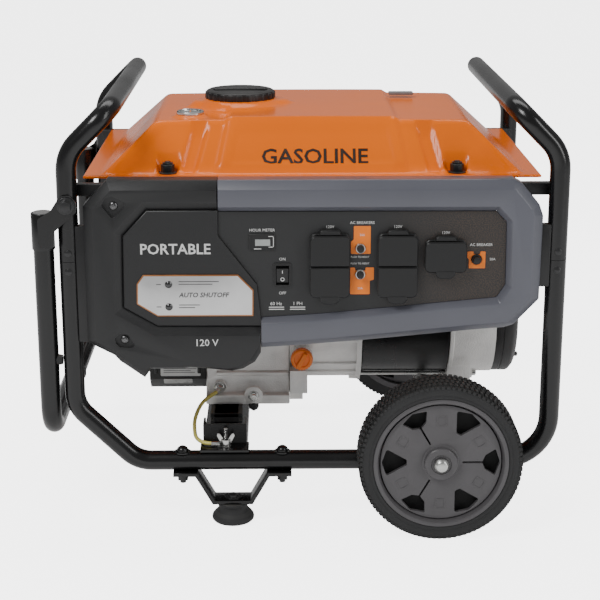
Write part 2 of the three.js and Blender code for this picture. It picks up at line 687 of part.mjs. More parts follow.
// The fan shroud wraps the flywheel; the recoil starter bolts to its left side.
const shroudLeft = -220;
const shroudRight = caseLeft - gap;
const shroudHalf = 91;
const corner = 34;
const squareRing = (h, c) => [
  [-h, shaftZ - h + c], [-h + c, shaftZ - h], [h - c, shaftZ - h], [h, shaftZ - h + c],
  [h, shaftZ + h - c], [h - c, shaftZ + h], [-h + c, shaftZ + h], [-h, shaftZ + h - c],
];
const flywheelR = 74;
add('fan_shroud', cut(
  barX(squareRing(shroudHalf, corner / 2), shroudLeft, shroudRight),
  rodX(flywheelR + 8, shroudLeft + 4, shroudRight + 5, 0, shaftZ, 24),
  rodX(52, shroudLeft - 5, shroudLeft + 10, 0, shaftZ, 20),
), blackPlastic);

const recoilDepth = 30;
const recoilRight = shroudLeft - gap;
const grip = { y: 92, z: shaftZ - 40, x: recoilRight - 14 };
add('recoil_cover', cut(
  turnedX([
    [0, recoilRight - recoilDepth], [52, recoilRight - recoilDepth], [62, recoilRight - recoilDepth + 6],
    [74, recoilRight - 6], [80, recoilRight - 5], [80, recoilRight], [0, recoilRight],
  ], 0, shaftZ, 24),
  turnedX([
    [0, recoilRight - recoilDepth + 3], [51, recoilRight - recoilDepth + 3],
    [60, recoilRight - recoilDepth + 8], [70, recoilRight - 5], [70, recoilRight + 5], [0, recoilRight + 5],
  ], 0, shaftZ, 24),
), blackPlastic);
add('recoil_grip', join(
  block(grip.x - 9, grip.x + 9, grip.y, grip.y + 16, grip.z - 26, grip.z + 26),
  rodY(5, grip.x, grip.y - 12, grip.y + 4, grip.z, 12),
), blackPlastic);

// What turns: the crankshaft with its webs, the flywheel and the alternator's rotor.
const statorLeft = 70;
const statorRight = 190;
const housingRight = 252.5;
add('crankshaft', join(
  rodX(shaftR, shroudLeft + 8, statorRight + 40, 0, shaftZ, 12),
  ...[[-115, -100], [-72, -57]].map(([a, b]) => rodX(34, a, b, 0, shaftZ, 16)),
  rodX(14, -101, -71, 0, shaftZ + 20, 10),
), plated);
add('flywheel', cut(
  join(rodX(flywheelR, -182, -165, 0, shaftZ, 24), rodX(40, -205, -181, 0, shaftZ, 16),
    ...Array.from({ length: 8 }, (_, i) => block(-196, -181, -1.5, 1.5, 36, flywheelR - 2)
      .rotateX((i * Math.PI) / 4).translate(0, 0, shaftZ))),
  rodX(shaftR + gap, -230, -150, 0, shaftZ, 12),
), castAlloy);
add('rotor', cut(
  rodX(bore - airGap, statorLeft + 8, statorRight - 8, 0, shaftZ, 20),
  rodX(shaftR + gap, statorLeft, statorRight, 0, shaftZ, 12),
), darkSteel);

// ---- alternator ------------------------------------------------------------------------------------
const bellWall = 8;
const adapterR = alternatorR + 6;
const neck = { x: -12.7, z: shaftZ - 40.7, y: -alternatorR - 10 };   // oil filler
add('engine_adapter', cut(
  join(
    rodX(adapterR, caseRight + gap, statorLeft - gap, 0, shaftZ, 28),
    rodY(13, neck.x, neck.y, neck.y + 30, neck.z, 20),
    block(caseRight + gap, caseRight + 24, -104, -80, panZ + 14, panZ + 46),
    block(caseRight + gap, caseRight + 18, -88, 88, panZ, panZ + 30),
  ),
  rodX(adapterR - bellWall, caseRight + 12, statorLeft + 5, 0, shaftZ, 28),
  rodX(shaftR + 1, caseRight - 5, caseRight + 20, 0, shaftZ, 12),
), castAlloy);
add('oil_cap', join(
  rodY(15, neck.x, neck.y - gap - 12, neck.y - gap, neck.z, 16),
  block(neck.x - 3, neck.x + 3, neck.y - gap - 18, neck.y - gap - 10, neck.z - 12, neck.z + 12),
), orangePlastic);

add('stator', cut(
  rodX(alternatorR, statorLeft, statorRight, 0, shaftZ, 28),
  rodX(bore, statorLeft - 5, statorRight + 5, 0, shaftZ, 20),
), darkSteel);

const alternatorFootZ = railTop + 28;
add('rear_housing', cut(
  join(
    rodX(alternatorR, statorRight + gap, housingRight, 0, shaftZ, 28),
    block(alternatorRailX - alternatorRailHalf, alternatorRailX + alternatorRailHalf, -60, 60,
      alternatorFootZ + gap, shaftZ - 60),
  ),
  rodX(alternatorR - 7, statorRight - 5, housingRight - 10, 0, shaftZ, 28),
  rodX(shaftR + 1, housingRight - 20, housingRight + 5, 0, shaftZ, 12),
), castAlloy);
const bellR = alternatorR - 1.5;
add('end_bell', turnedX([
  [0, housingRight + gap], [bellR, housingRight + gap], [bellR, housingRight + 23],
  [bellR - 9, housingRight + 31], [0, housingRight + 31],
], 0, shaftZ, 24), blackPlastic);

// Rubber mounts between the channels and what they carry.
const mountPad = 22;
add('isolator_engine', join(
  ...[-1, 1].map((s) => block(engineRailX - 17, engineRailX + 17, s * 120 - mountPad, s * 120 + mountPad,
    railTop + gap, panZ - gap)),
  block(engineRailX - 17, engineRailX + 17, -110, 110, railTop + gap, railTop + 6),
), rubber);
add('isolator_alternator', block(
  alternatorRailX - alternatorRailHalf + 2, alternatorRailX + alternatorRailHalf - 2,
  -56, 56, railTop + gap, alternatorFootZ,
), rubber);

// ---- intake, exhaust -----------------------------------------------------------------------------------
const intakeZ = shaftZ + 67;
add('carburettor', join(
  block(-176, -146.5, 112, 148, intakeZ - 20, intakeZ + 20),
  rodX(14, -147, -144.5, 130, intakeZ, 16),
  rodZ(15, -161, 130, intakeZ - 38, intakeZ - 18, 16),
), castAlloy);
add('choke_lever', join(
  rodY(5, -161, 148.5, 154, intakeZ + 8, 12),
  block(-164, -158, 150, 154, intakeZ + 8, intakeZ + 38),
), blackPlastic);
add('air_cleaner', join(
  block(-262, -180, 100, 176, intakeZ - 30, intakeZ + 52),
  block(-257, -185, 176, 184, intakeZ - 24, intakeZ + 46),
  block(-180.5, -176.5, 116, 144, intakeZ - 16, intakeZ + 16),
), blackPlastic);

// The exhaust pipe rises from the head into the muffler's left end; the tail pipe faces back.
const mufflerX = [14, 196];
const mufflerZ = shaftZ + 125;
const portZ = shaftZ + 71;
add('muffler', join(
  barX([[86, mufflerZ - 28], [96, mufflerZ - 36], [168, mufflerZ - 36], [178, mufflerZ - 28],
    [178, mufflerZ + 26], [168, mufflerZ + 36], [96, mufflerZ + 36], [86, mufflerZ + 26]], ...mufflerX),
  tube([[-23, 128, portZ], [-8, 128, portZ], [5, 128, mufflerZ - 5], [40, 128, mufflerZ - 5]],
    [8, 8], 11, { sides: 10, stepsPerBend: 3 }),
  rodY(10, mufflerX[1] - 30, 170, 196, mufflerZ - 10, 14),
), darkSteel);

// ---- earth lead ----------------------------------------------------------------------------------------
// The lead runs from a lug on the crankcase to a ring under the wing nut on the frame.
// Each point is (x, fraction of the way out to the stud, fraction of the way down to it).
const ringZ = railTop + gap + earthFlange + gap;
const leadStart = { y: -98, z: panZ + 26 };
const leadEnd = { y: earthStudY, z: ringZ + 3.7 };
const leadRoute = [
  [-124, 0, 0], [-128, 0.05, 0.1], [-139, 0.16, 0.19], [-149, 0.3, 0.33], [-154, 0.46, 0.52],
  [-156, 0.6, 0.69], [-155, 0.74, 0.83], [-153, 0.86, 0.93], [-147, 0.95, 0.98], [-138, 0.99, 1],
  [-129, 1, 1], [-122, 1, 1],
].map(([x, out, down]) => new THREE.Vector3(x, THREE.MathUtils.lerp(leadStart.y, leadEnd.y, out),
  THREE.MathUtils.lerp(leadStart.z, leadEnd.z, down)));
const leadCurve = new THREE.CatmullRomCurve3(leadRoute);
const leadR = 2.6;
const leadRing = new THREE.Shape();
leadRing.absarc(0, 0, leadR, 0, Math.PI * 2);
const lead = new THREE.ExtrudeGeometry(leadRing, {
  steps: 22, extrudePath: leadCurve, bevelEnabled: false, curveSegments: 4,
});
add('earth_lead', join(
  lead,
  cut(block(-124, engineRailX + 9, earthStudY - 7, earthStudY + 7, ringZ, ringZ + 1.6),
    rodZ(studR + 0.4, engineRailX + 1.5, earthStudY, ringZ - 5, ringZ + 10, 14)),
  block(-130, -121, earthStudY - 3, earthStudY + 3, ringZ, ringZ + 5),
), wireJacket);
const nutZ = ringZ + 1.6 + gap;
const nutX = engineRailX + 1.5;
const wing = plateY([[3, 2], [7, 3], [11.4, 13], [10.5, 16], [7.5, 15.5], [3, 8]], -1.2, 1.2);
add('wing_nut', cut(join(
  rodZ(6.5, 0, 0, 0, 8, 16),
  wing,
  wing.clone().rotateZ(Math.PI),
), rodZ(studR + 0.4, 0, 0, -5, 20, 14)).translate(nutX, earthStudY, nutZ), plated);

// The machine is placed so that the origin is under the middle of its box.
const leftReach = frameX + handleArmX + 14;
const rightReach = frameX + tubeR;
generator.position.x = (leftReach - rightReach) / 2;

export default generator;
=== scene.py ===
import json
import math

import bmesh
import bpy
from mathutils import Matrix, Vector


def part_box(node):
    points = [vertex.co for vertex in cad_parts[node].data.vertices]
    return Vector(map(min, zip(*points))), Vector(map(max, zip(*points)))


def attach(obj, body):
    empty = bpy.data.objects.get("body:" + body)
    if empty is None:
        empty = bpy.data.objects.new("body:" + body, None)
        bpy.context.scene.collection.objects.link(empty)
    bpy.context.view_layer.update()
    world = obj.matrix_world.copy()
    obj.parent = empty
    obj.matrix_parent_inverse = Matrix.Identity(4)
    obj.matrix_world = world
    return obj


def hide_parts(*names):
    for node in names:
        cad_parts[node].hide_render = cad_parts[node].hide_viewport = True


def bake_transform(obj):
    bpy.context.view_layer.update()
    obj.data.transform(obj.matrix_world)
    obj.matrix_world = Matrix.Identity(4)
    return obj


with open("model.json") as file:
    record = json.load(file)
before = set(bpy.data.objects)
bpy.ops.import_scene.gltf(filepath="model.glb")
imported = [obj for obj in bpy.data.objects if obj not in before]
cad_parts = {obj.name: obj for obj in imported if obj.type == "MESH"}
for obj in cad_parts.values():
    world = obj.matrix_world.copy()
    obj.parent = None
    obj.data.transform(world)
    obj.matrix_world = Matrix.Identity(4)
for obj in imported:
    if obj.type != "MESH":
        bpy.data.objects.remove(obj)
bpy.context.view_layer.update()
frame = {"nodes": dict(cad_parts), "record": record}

nodes = frame["nodes"]
bodies = frame["record"]["behaviour"]["bodies"]

# ---- camera, floor and lights ----------------------------------------------------------------
# The machine stands on a plain pale floor under large soft lights. It is seen from standing
# height through a long lens, from a little to the left of the control panel's middle.
eye = Vector((-0.0284, -2.0719, 0.8324))
forward = Vector((0.0145, 0.9609, -0.2764))
lens = bpy.data.cameras.new("camera")
lens.lens = 91.8
lens.sensor_width = 36.0


def in_scene(name, data):
    """An object for this data, in the scene's collection."""
    made = bpy.data.objects.new(name, data)
    bpy.context.scene.collection.objects.link(made)
    return made


def node(tree, kind, **feeds):
    """A shader node of a kind, each socket fed with a value or from another node's output."""
    made = tree.nodes.new("ShaderNode" + kind)
    for label, feed in feeds.items():
        socket = made.inputs[label.replace("_", " ")]
        if isinstance(feed, bpy.types.NodeSocket):
            tree.links.new(feed, socket)
        else:
            socket.default_value = feed
    return made


camera = in_scene("camera", lens)
camera.location = eye
camera.rotation_euler = forward.to_track_quat("-Z", "Y").to_euler()
bpy.context.scene.camera = camera

floor_half, floor_drop = 12.0, 0.0004
floor_bm = bmesh.new()
bmesh.ops.create_grid(floor_bm, x_segments=1, y_segments=1, size=floor_half,
                      matrix=Matrix.Translation((0, 0, -floor_drop)))
floor_mesh = bpy.data.meshes.new("floor")
floor_bm.to_mesh(floor_mesh)
floor_bm.free()
in_scene("floor", floor_mesh)
floor_paint = bpy.data.materials.new("pale_floor")
floor_paint.use_nodes = True
floor_tree = floor_paint.node_tree
floor_seen = node(floor_tree, "LightPath")
floor_glow = node(floor_tree, "MapRange", Value=floor_seen.outputs["Is Camera Ray"], To_Min=0.3, To_Max=4.0)
floor_shader = floor_tree.nodes["Principled BSDF"]
floor_shader.inputs["Base Color"].default_value = (0.9, 0.9, 0.9, 1)
floor_shader.inputs["Roughness"].default_value = 0.8
floor_shader.inputs["Emission Color"].default_value = (1, 1, 1, 1)
floor_tree.links.new(floor_glow.outputs["Result"], floor_shader.inputs["Emission Strength"])
floor_mesh.materials.append(floor_paint)

studio = bpy.data.worlds.new("studio")
studio.use_nodes = True
sky = studio.node_tree
room = sky.nodes["Background"]
room.inputs["Color"].default_value = (1.0, 1.0, 1.0, 1)
room.inputs["Strength"].default_value = 0.3
backdrop = node(sky, "Background", Color=(1.0, 1.0, 1.0, 1), Strength=3.5)
pick = node(sky, "MixShader", Fac=node(sky, "LightPath").outputs["Is Camera Ray"])
sky.links.new(room.outputs["Background"], pick.inputs[1])
sky.links.new(backdrop.outputs["Background"], pick.inputs[2])
sky.links.new(pick.outputs["Shader"], sky.nodes["World Output"].inputs["Surface"])
bpy.context.scene.world = studio
for name, place, size, watts in (
        ("key", (-1.3, -1.6, 2.2), (0.9, 0.9), 36),
        ("fill", (2.0, -1.5, 1.3), (0.5, 1.8), 17),
        ("top", (0.1, 0.5, 2.4), (2.2, 0.8), 20)):
    data = bpy.data.lights.new(name, "AREA")
    data.shape = "RECTANGLE"
    data.size, data.size_y = size
    data.energy = watts
    lamp = in_scene(name, data)
    lamp.location = place
    lamp.rotation_euler = (Vector((0, 0, 0.25)) - Vector(place)).to_track_quat("-Z", "Y").to_euler()

# ---- lower frame loops -----------------------------------------------------------------------
# Two loops of one inch steel tube stand front and rear, bent cold and powder coated black. The
# dome heads of the foot bolts and a welded axle saddle are on each bottom rail.
left_upright, right_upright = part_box("frame_front")[0][0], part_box("frame_front")[1][0]
middle = (left_upright + right_upright) / 2


def at(x, y, z):
    """A point in millimetres from the middle of the frame, on the ground."""
    return Vector((middle + x / 1000, y / 1000, z / 1000))


def node_group(name, inputs, outputs):
    """A shader group with number sockets of these names."""
    group = bpy.data.node_groups.new(name, "ShaderNodeTree")
    for way, sockets in (("INPUT", inputs), ("OUTPUT", dict.fromkeys(outputs))):
        for label, value in sockets.items():
            socket = group.interface.new_socket(label, in_out=way, socket_type="NodeSocketFloat")
            if value is not None:
                socket.default_value = value
    return group, group.nodes.new("NodeGroupInput").outputs, group.nodes.new("NodeGroupOutput").inputs


def multiplied(tree, value, factors, clamp=False):
    """The value times each factor in turn."""
    for factor in factors:
        times = tree.nodes.new("ShaderNodeMath")
        times.operation = "MULTIPLY"
        times.use_clamp = clamp
        tree.links.new(value, times.inputs[0])
        tree.links.new(factor, times.inputs[1])
        value = times.outputs["Value"]
    return value


# Slow clouding and fine grain over a surface.
uneven, uneven_in, uneven_out = node_group(
    "uneven", {"Cloud Scale": 14.0, "Grain Scale": 600.0}, ["Cloud", "Grain"])
uneven_place = node(uneven, "TexCoord").outputs["Object"]
for label, detail in (("Cloud", 5.0), ("Grain", 2.0)):
    noise = node(uneven, "TexNoise", Vector=uneven_place, Scale=uneven_in[label + " Scale"], Detail=detail)
    spread = node(uneven, "MapRange", Value=noise.outputs["Fac"], From_Min=0.3, From_Max=0.7)
    uneven.links.new(spread.outputs["Result"], uneven_out[label])

# Corners that hands and tools rub, where a rounded normal leaves the true one.
rubbed, rubbed_in, rubbed_out = node_group("rubbed_edges", {"Amount": 0.5}, ["Worn"])
soft_normal = node(rubbed, "Bevel", Radius=0.001)
soft_normal.samples = 4
agree = rubbed.nodes.new("ShaderNodeVectorMath")
agree.operation = "DOT_PRODUCT"
rubbed.links.new(soft_normal.outputs["Normal"], agree.inputs[0])
rubbed.links.new(node(rubbed, "NewGeometry").outputs["Normal"], agree.inputs[1])
corner = node(rubbed, "MapRange", Value=agree.outputs["Value"], From_Min=0.985, From_Max=0.85,
              To_Min=0.0, To_Max=1.0)
spots = node(rubbed, "TexNoise", Vector=node(rubbed, "TexCoord").outputs["Object"], Scale=70.0)
worn_corner = multiplied(rubbed, corner.outputs["Result"], (spots.outputs["Fac"], rubbed_in["Amount"]), True)
rubbed.links.new(worn_corner, rubbed_out["Worn"])

# Dust that settles on what faces up.
dust, dust_in, dust_out = node_group("settled_dust", {"Amount": 0.2}, ["Dusty"])
dust_place = node(dust, "TexCoord").outputs
parts = node(dust, "SeparateXYZ", Vector=dust_place["Normal"])
upward = node(dust, "MapRange", Value=parts.outputs["Z"], From_Min=0.6, From_Max=1.0)
drift = node(dust, "TexNoise", Vector=dust_place["Object"], Scale=22.0, Detail=6.0)
dust.links.new(multiplied(dust, upward.outputs["Result"], (drift.outputs["Fac"], dust_in["Amount"])),
               dust_out["Dusty"])
dust_tint = (0.42, 0.40, 0.36)


def tinted(tree, mask, under, tint):
    """A colour turned towards a tint by a mask."""
    over = tree.nodes.new("ShaderNodeMix")
    over.data_type = "RGBA"
    tree.links.new(mask, over.inputs["Factor"])
    if isinstance(under, tuple):
        over.inputs["A"].default_value = under
    else:
        tree.links.new(under, over.inputs["A"])
    over.inputs["B"].default_value = (*tint, 1)
    return over.outputs["Result"]


def surface(name, colour, roughness, metallic=0.0, cloud=(14.0, 0.12), grain=(600.0, 0.0), swing=0.06,
            worn=None, dusty=0.0, **sockets):
    """A finish: a colour that clouds a little, its shine and grain, rubbed corners and dust."""
    material = bpy.data.materials.new(name)
    material.use_nodes = True
    tree = material.node_tree
    shader = tree.nodes["Principled BSDF"]
    shader.inputs["Metallic"].default_value = metallic
    for label, value in sockets.items():
        shader.inputs[label.replace("_", " ")].default_value = value
    skin = tree.nodes.new("ShaderNodeGroup")
    skin.name = "skin"
    skin.node_tree = uneven
    skin.inputs["Cloud Scale"].default_value = cloud[0]
    skin.inputs["Grain Scale"].default_value = grain[0]
    coat = tinted(tree, skin.outputs["Cloud"], (*[c * (1 - cloud[1]) for c in colour], 1),
                  [min(1.0, c * (1 + cloud[1])) for c in colour])
    layers = [(rubbed, "Worn", *worn)] if worn else []
    if dusty:
        layers.append((dust, "Dusty", dusty, dust_tint))
    for group, output, amount, tint in layers:
        mask = tree.nodes.new("ShaderNodeGroup")
        mask.node_tree = group
        mask.inputs["Amount"].default_value = amount
        coat = tinted(tree, mask.outputs[output], coat, tint)
    tree.links.new(coat, shader.inputs["Base Color"])
    shine = node(tree, "MapRange", Value=skin.outputs["Cloud"], To_Min=max(0.03, roughness - swing),
                 To_Max=min(1.0, roughness + swing))
    tree.links.new(shine.outputs["Result"], shader.inputs["Roughness"])
    if grain[1]:
        bump = node(tree, "Bump", Distance=grain[1], Height=skin.outputs["Grain"])
        tree.links.new(bump.outputs["Normal"], shader.inputs["Normal"])
    return material


def as_piece(bm, name, material, body="machine", stands_for=(), crease=35.0):
    """Closes a mesh off: doubles merged, faces out, smooth between creases, finish and body."""
    bmesh.ops.remove_doubles(bm, verts=bm.verts, dist=2e-6)
    bmesh.ops.recalc_face_normals(bm, faces=bm.faces)
    mesh = bpy.data.meshes.new(name)
    bm.to_mesh(mesh)
    bm.free()
    mesh.shade_smooth()
    mesh.set_sharp_from_angle(angle=math.radians(crease))
    mesh.materials.append(material)
    piece = in_scene(name, mesh)
    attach(piece, body)
    if stands_for:
        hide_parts(*stands_for)
    return piece


def verts_in(geom):
    return [g for g in geom if isinstance(g, bmesh.types.BMVert)]


def edges_in(geom):
    return [g for g in geom if isinstance(g, bmesh.types.BMEdge)]


def edges_of(verts):
    return {e for v in verts for e in v.link_edges}


def pointing(axis):
    """The turn that takes +Z to an axis."""
    return Vector((0, 0, 1)).rotation_difference(Vector(axis)).to_matrix().to_4x4()


def bent_tube(bm, corners, bends, radius, sides=28):
    """A round tube along straight runs, with an arc of the given radius at each inner corner."""
    heading = (corners[1] - corners[0]).normalized()
    made = bmesh.ops.create_circle(bm, cap_ends=True, radius=radius, segments=sides,
                                   matrix=Matrix.Translation(corners[0]) @ pointing(heading))
    ring = list(edges_of(made["verts"]))
    here = corners[0].copy()
    for i in range(1, len(corners)):
        ahead = corners[i]
        last = i == len(corners) - 1
        if not last:
            onward = (corners[i + 1] - corners[i]).normalized()
            angle = heading.angle(onward)
            reach = bends[i - 1] * math.tan(angle / 2)
            ahead = corners[i] - heading * reach
        grown = bmesh.ops.extrude_edge_only(bm, edges=ring)["geom"]
        tips = verts_in(grown)
        bmesh.ops.translate(bm, verts=tips, vec=ahead - here)
        ring = [e for e in edges_in(grown) if all(v in tips for v in e.verts)]
        here = ahead
        if last:
            bmesh.ops.contextual_create(bm, geom=tips + ring)
            return
        axis = heading.cross(onward).normalized()
        centre = here + axis.cross(heading) * bends[i - 1]
        spun = bmesh.ops.spin(bm, geom=tips + ring, cent=centre, axis=axis, dvec=(0, 0, 0), angle=angle,
                              steps=max(6, round(math.degrees(angle) / 7)), use_duplicate=False)["geom_last"]
        ring = edges_in(spun)
        here = corners[i] + onward * reach
        heading = onward


def turned(bm, profile, centre, axis, sides=48):
    """A turned piece: (radius, height) points spun about the axis through the centre."""
    place = Matrix.Translation(centre) @ pointing(axis)
    line = [bm.verts.new(place @ Vector((r / 1000, 0, h / 1000))) for r, h in profile]
    edges = [bm.edges.new(pair) for pair in zip(line, line[1:])]
    bmesh.ops.spin(bm, geom=line + edges, cent=centre, axis=place.to_3x3() @ Vector((0, 0, 1)),
                   dvec=(0, 0, 0), angle=math.tau, steps=sides, use_merge=True, use_duplicate=False)


def block(bm, low, high):
    """A box between two corners."""
    size = high - low
    return bmesh.ops.create_cube(bm, size=1.0, matrix=Matrix.Translation((low + high) / 2)
                                 @ Matrix.Diagonal((*size, 1)))["verts"]


def rod(bm, start, end, radius, sides=24, tip=None):
    """A round or six-sided bar between two points, tapered if the tip has its own radius."""
    along = end - start
    return bmesh.ops.create_cone(bm, cap_ends=True, segments=sides, radius1=radius,
                                 radius2=radius if tip is None else tip, depth=along.length,
                                 matrix=Matrix.Translation((start + end) / 2) @ pointing(along))["verts"]


def break_edges(bm, width, segments=2, sharper_than=30.0, edges=None):
    """Rounds the sharp edges of a mesh."""
    bm.normal_update()
    chosen = [e for e in (edges or bm.edges)
              if len(e.link_faces) == 2 and e.calc_face_angle(0.0) > math.radians(sharper_than)]
    bmesh.ops.bevel(bm, geom=chosen, offset=width / 1000, offset_type="OFFSET", affect="EDGES",
                    segments=segments, profile=0.5, material=-1, clamp_overlap=True)


def merge_into(bm, extra):
    """Adds one mesh to another."""
    spare = bpy.data.meshes.new("spare")
    extra.to_mesh(spare)
    extra.free()
    bm.from_mesh(spare)
    bpy.data.meshes.remove(spare)


frame_paint = surface("black_powder_coat", (0.0035, 0.0035, 0.0038), 0.24, cloud=(9.0, 0.25),
                      grain=(900.0, 0.00003), worn=(0.35, (0.04, 0.04, 0.04)), dusty=0.01, Coat_Weight=0.1,
                      Coat_Roughness=0.1)
tube_r, frame_x, frame_y, rail_z, joint_z = 12.7, 304.5, 218.4, 84.0, 352.0
cut_x, cut_z = 226.5, 160.0
axle_x, axle_z = 159.5, 104.0
foot_bolts = (-169.0, -39.8)
for side, solid in ((-1, "frame_front"), (1, "frame_rear")):
    y = side * frame_y
    bm = bmesh.new()
    bent_tube(bm, [at(-frame_x, y, joint_z), at(-frame_x, y, cut_z), at(-cut_x, y, rail_z),
                   at(frame_x, y, rail_z), at(frame_x, y, joint_z)], (0.042, 0.042, 0.058), tube_r / 1000)
    for x in foot_bolts:
        turned(bm, [(0, 0), (7.6, 0), (7.6, 2.6), (6.4, 5.2), (3.6, 7.2), (0, 7.6)],
               at(x, y, rail_z + tube_r - 0.8), (0, 0, 1), 20)
        turned(bm, [(0, 0), (10.5, 0), (10.5, 1.6), (0, 1.6)], at(x, y, rail_z + tube_r - 1.8), (0, 0, 1), 24)
    saddle = bmesh.new()
    block(saddle, at(axle_x - 17, y - 10.5, rail_z), at(axle_x + 17, y + 10.5, axle_z + 12))
    break_edges(saddle, 4.5, 4)
    rod(saddle, at(axle_x, y - 12.6, axle_z), at(axle_x, y + 12.6, axle_z), 0.0105)
    merge_into(bm, saddle)
    as_piece(bm, solid + "_tube", frame_paint, stands_for=[solid])

# ---- top hoops ---------------------------------------------------------------------------------
# A hoop of the same tube plugs into the uprights at each end. It leans in at the knees and runs
# across as a lifting handle; the plug joint shows as a fine line with a rivet on either side.
knee_z, top_z = 486.0, 541.0
rivet_steel = surface("blackened_rivet", (0.035, 0.035, 0.036), 0.3, 0.4, worn=(0.5, (0.2, 0.2, 0.2)))
for side, solid in ((-1, "handle_hoop_left"), (1, "handle_hoop_right")):
    in_x = frame_x - (top_z - knee_z)
    bm = bmesh.new()
    bent_tube(bm, [at(side * frame_x, -frame_y, joint_z + 0.6), at(side * frame_x, -frame_y, knee_z),
                   at(side * in_x, -frame_y, top_z), at(side * in_x, frame_y, top_z),
                   at(side * frame_x, frame_y, knee_z), at(side * frame_x, frame_y, joint_z + 0.6)],
              (0.05, 0.03, 0.03, 0.05), tube_r / 1000)
    as_piece(bm, solid + "_tube", frame_paint, stands_for=[solid])
    rivets = bmesh.new()
    for end in (-1, 1):
        for z in (joint_z - 12, joint_z + 12):
            turned(rivets, [(0, 0), (4.6, 0), (4.2, 1.2), (2.4, 2.1), (0, 2.3)],
                   at(side * frame_x, end * (frame_y + tube_r - 0.5), z), (0, end, 0), 18)
    as_piece(rivets, solid + "_rivets", rivet_steel)

# ---- cross tube and channels -------------------------------------------------------------------
# One tube ties the loops at the cut corners. Two pressed channels are welded from rail to rail
# and carry the engine and the alternator on rubber.


def made_whole(bm, angle=1.0):
    """Triangles on one flat joined back into its face."""
    bmesh.ops.dissolve_limit(bm, angle_limit=math.radians(angle), verts=bm.verts, edges=bm.edges)


def cad_copy(solid):
    """A CAD node's solid as a clean mesh: corners merged and flat faces made whole again."""
    bm = bmesh.new()
    bm.from_mesh(nodes[solid].data)
    bmesh.ops.remove_doubles(bm, verts=bm.verts, dist=2e-6)
    made_whole(bm)
    return bm


def body_of(solid):
    return next(name for name, held in bodies.items() if solid in held)


def dressed(solid, material, edge=0.8, segments=2, extra=None):
    """A CAD node with its edges broken and its own finish, and what is welded or cast onto it."""
    bm = cad_copy(solid)
    break_edges(bm, edge, segments)
    if extra:
        extra(bm)
    as_piece(bm, solid + "_finished", material, body_of(solid), [solid])


across, cross_z = frame_y - tube_r - 0.3, 200.0
bm = bmesh.new()
bent_tube(bm, [at(-frame_x, -across, cross_z), at(-frame_x, across, cross_z)], (), 0.0117)
for side in (-1, 1):
    turned(bm, [(0, 0), (13.6, 0), (13.4, 1.2), (12.2, 2.6), (11.6, 3.4), (0, 3.4)],
           at(-frame_x, side * across, cross_z), (0, -side, 0), 28)
as_piece(bm, "cross_tube_round", frame_paint, stands_for=["cross_tube"])
dressed("engine_rail", frame_paint, 1.2)
dressed("alternator_rail", frame_paint, 2.0, 3)

# ---- feet ----------------------------------------------------------------------------------------
# A strap bent from flat bar hangs under each rail on two bolts and carries a turned rubber foot.
# The foot flares to a wide face and greys with dust.
foot_rubber = surface("foot_rubber", (0.018, 0.018, 0.0185), 0.66, cloud=(30.0, 0.25), grain=(700.0, 0.00012),
                      dusty=0.35)
foot_x, strap_bottom = -104.4, 32.3
for side, end in ((-1, "front"), (1, "rear")):
    dressed("foot_bracket_" + end, frame_paint, 1.4)
    bm = bmesh.new()
    turned(bm, [(0, 0), (20.5, 0), (22.5, 0.6), (25.4, 1.6), (27.2, 3.6), (27.6, 6), (27, 8.2), (25, 11),
                (21.8, 14), (19.6, 17), (18.8, 20), (19, 22), (20.2, 23.4), (20.6, 26), (19.8, 27), (0, 27)],
           at(foot_x, side * frame_y, 0), (0, 0, 1), 56)
    as_piece(bm, "foot_" + end + "_rubber", foot_rubber, stands_for=["foot_" + end])
    washer = bmesh.new()
    turned(washer, [(0, 0), (11, 0), (11, 1.4), (7, 1.4), (6.6, 3.6), (3, 5), (0, 5.2)],
           at(foot_x, side * frame_y, strap_bottom), (0, 0, 1), 24)
    as_piece(washer, "foot_" + end + "_screw", rivet_steel)

# ---- axle and wheels -----------------------------------------------------------------------------
# Solid rubber tyres with a fine block tread sit on moulded grey wheels. Each wheel has a lip, six
# broad raised arms that run together round the boss, and windows and slots between them; a black
# disc at mid depth paints the shade seen through them.
bright_zinc = surface("zinc_plate", (0.62, 0.62, 0.6), 0.26, 1.0, cloud=(40.0, 0.12), swing=0.1,
                      worn=(0.3, (0.8, 0.8, 0.8)))
tyre_rubber = surface("tyre_rubber", (0.016, 0.016, 0.0165), 0.62, cloud=(18.0, 0.3), grain=(800.0, 0.00012),
                      dusty=0.12)
rim_plastic = surface("moulded_grey", (0.085, 0.081, 0.085), 0.4, cloud=(25.0, 0.1), grain=(1400.0, 0.00005),
                      worn=(0.5, (0.17, 0.165, 0.165)), dusty=0.05)
# A near-black finish that paints the shade inside each wheel.
wheel_painted_shade = surface("wheel_shadow", (0.012, 0.012, 0.012), 0.8, cloud=(20.0, 0.2))
dressed("axle", bright_zinc, 1.0, 3)


def polygon_face(bm, outline, holes, place):
    """A flat sheet with holes: loops of (u, v) points in millimetres, filled between."""
    edges = []
    for loop in [outline, *holes]:
        ring = [bm.verts.new(place @ Vector((u / 1000, v / 1000, 0))) for u, v in loop]
        edges += [bm.edges.new(pair) for pair in zip(ring, ring[1:] + ring[:1])]
    made = bmesh.ops.triangle_fill(bm, use_beauty=True, use_dissolve=False, edges=edges)["geom"]
    return [g for g in made if isinstance(g, bmesh.types.BMFace)]


def thicken(bm, faces, vec):
    """The sheet pushed out into a solid."""
    grown = bmesh.ops.extrude_face_region(bm, geom=faces, use_keep_orig=True)["geom"]
    bmesh.ops.translate(bm, verts=verts_in(grown), vec=vec)


def circle(radius, count, centre=(0.0, 0.0)):
    turns = [math.tau * i / count for i in range(count)]
    return [(centre[0] + radius * math.cos(a), centre[1] + radius * math.sin(a)) for a in turns]


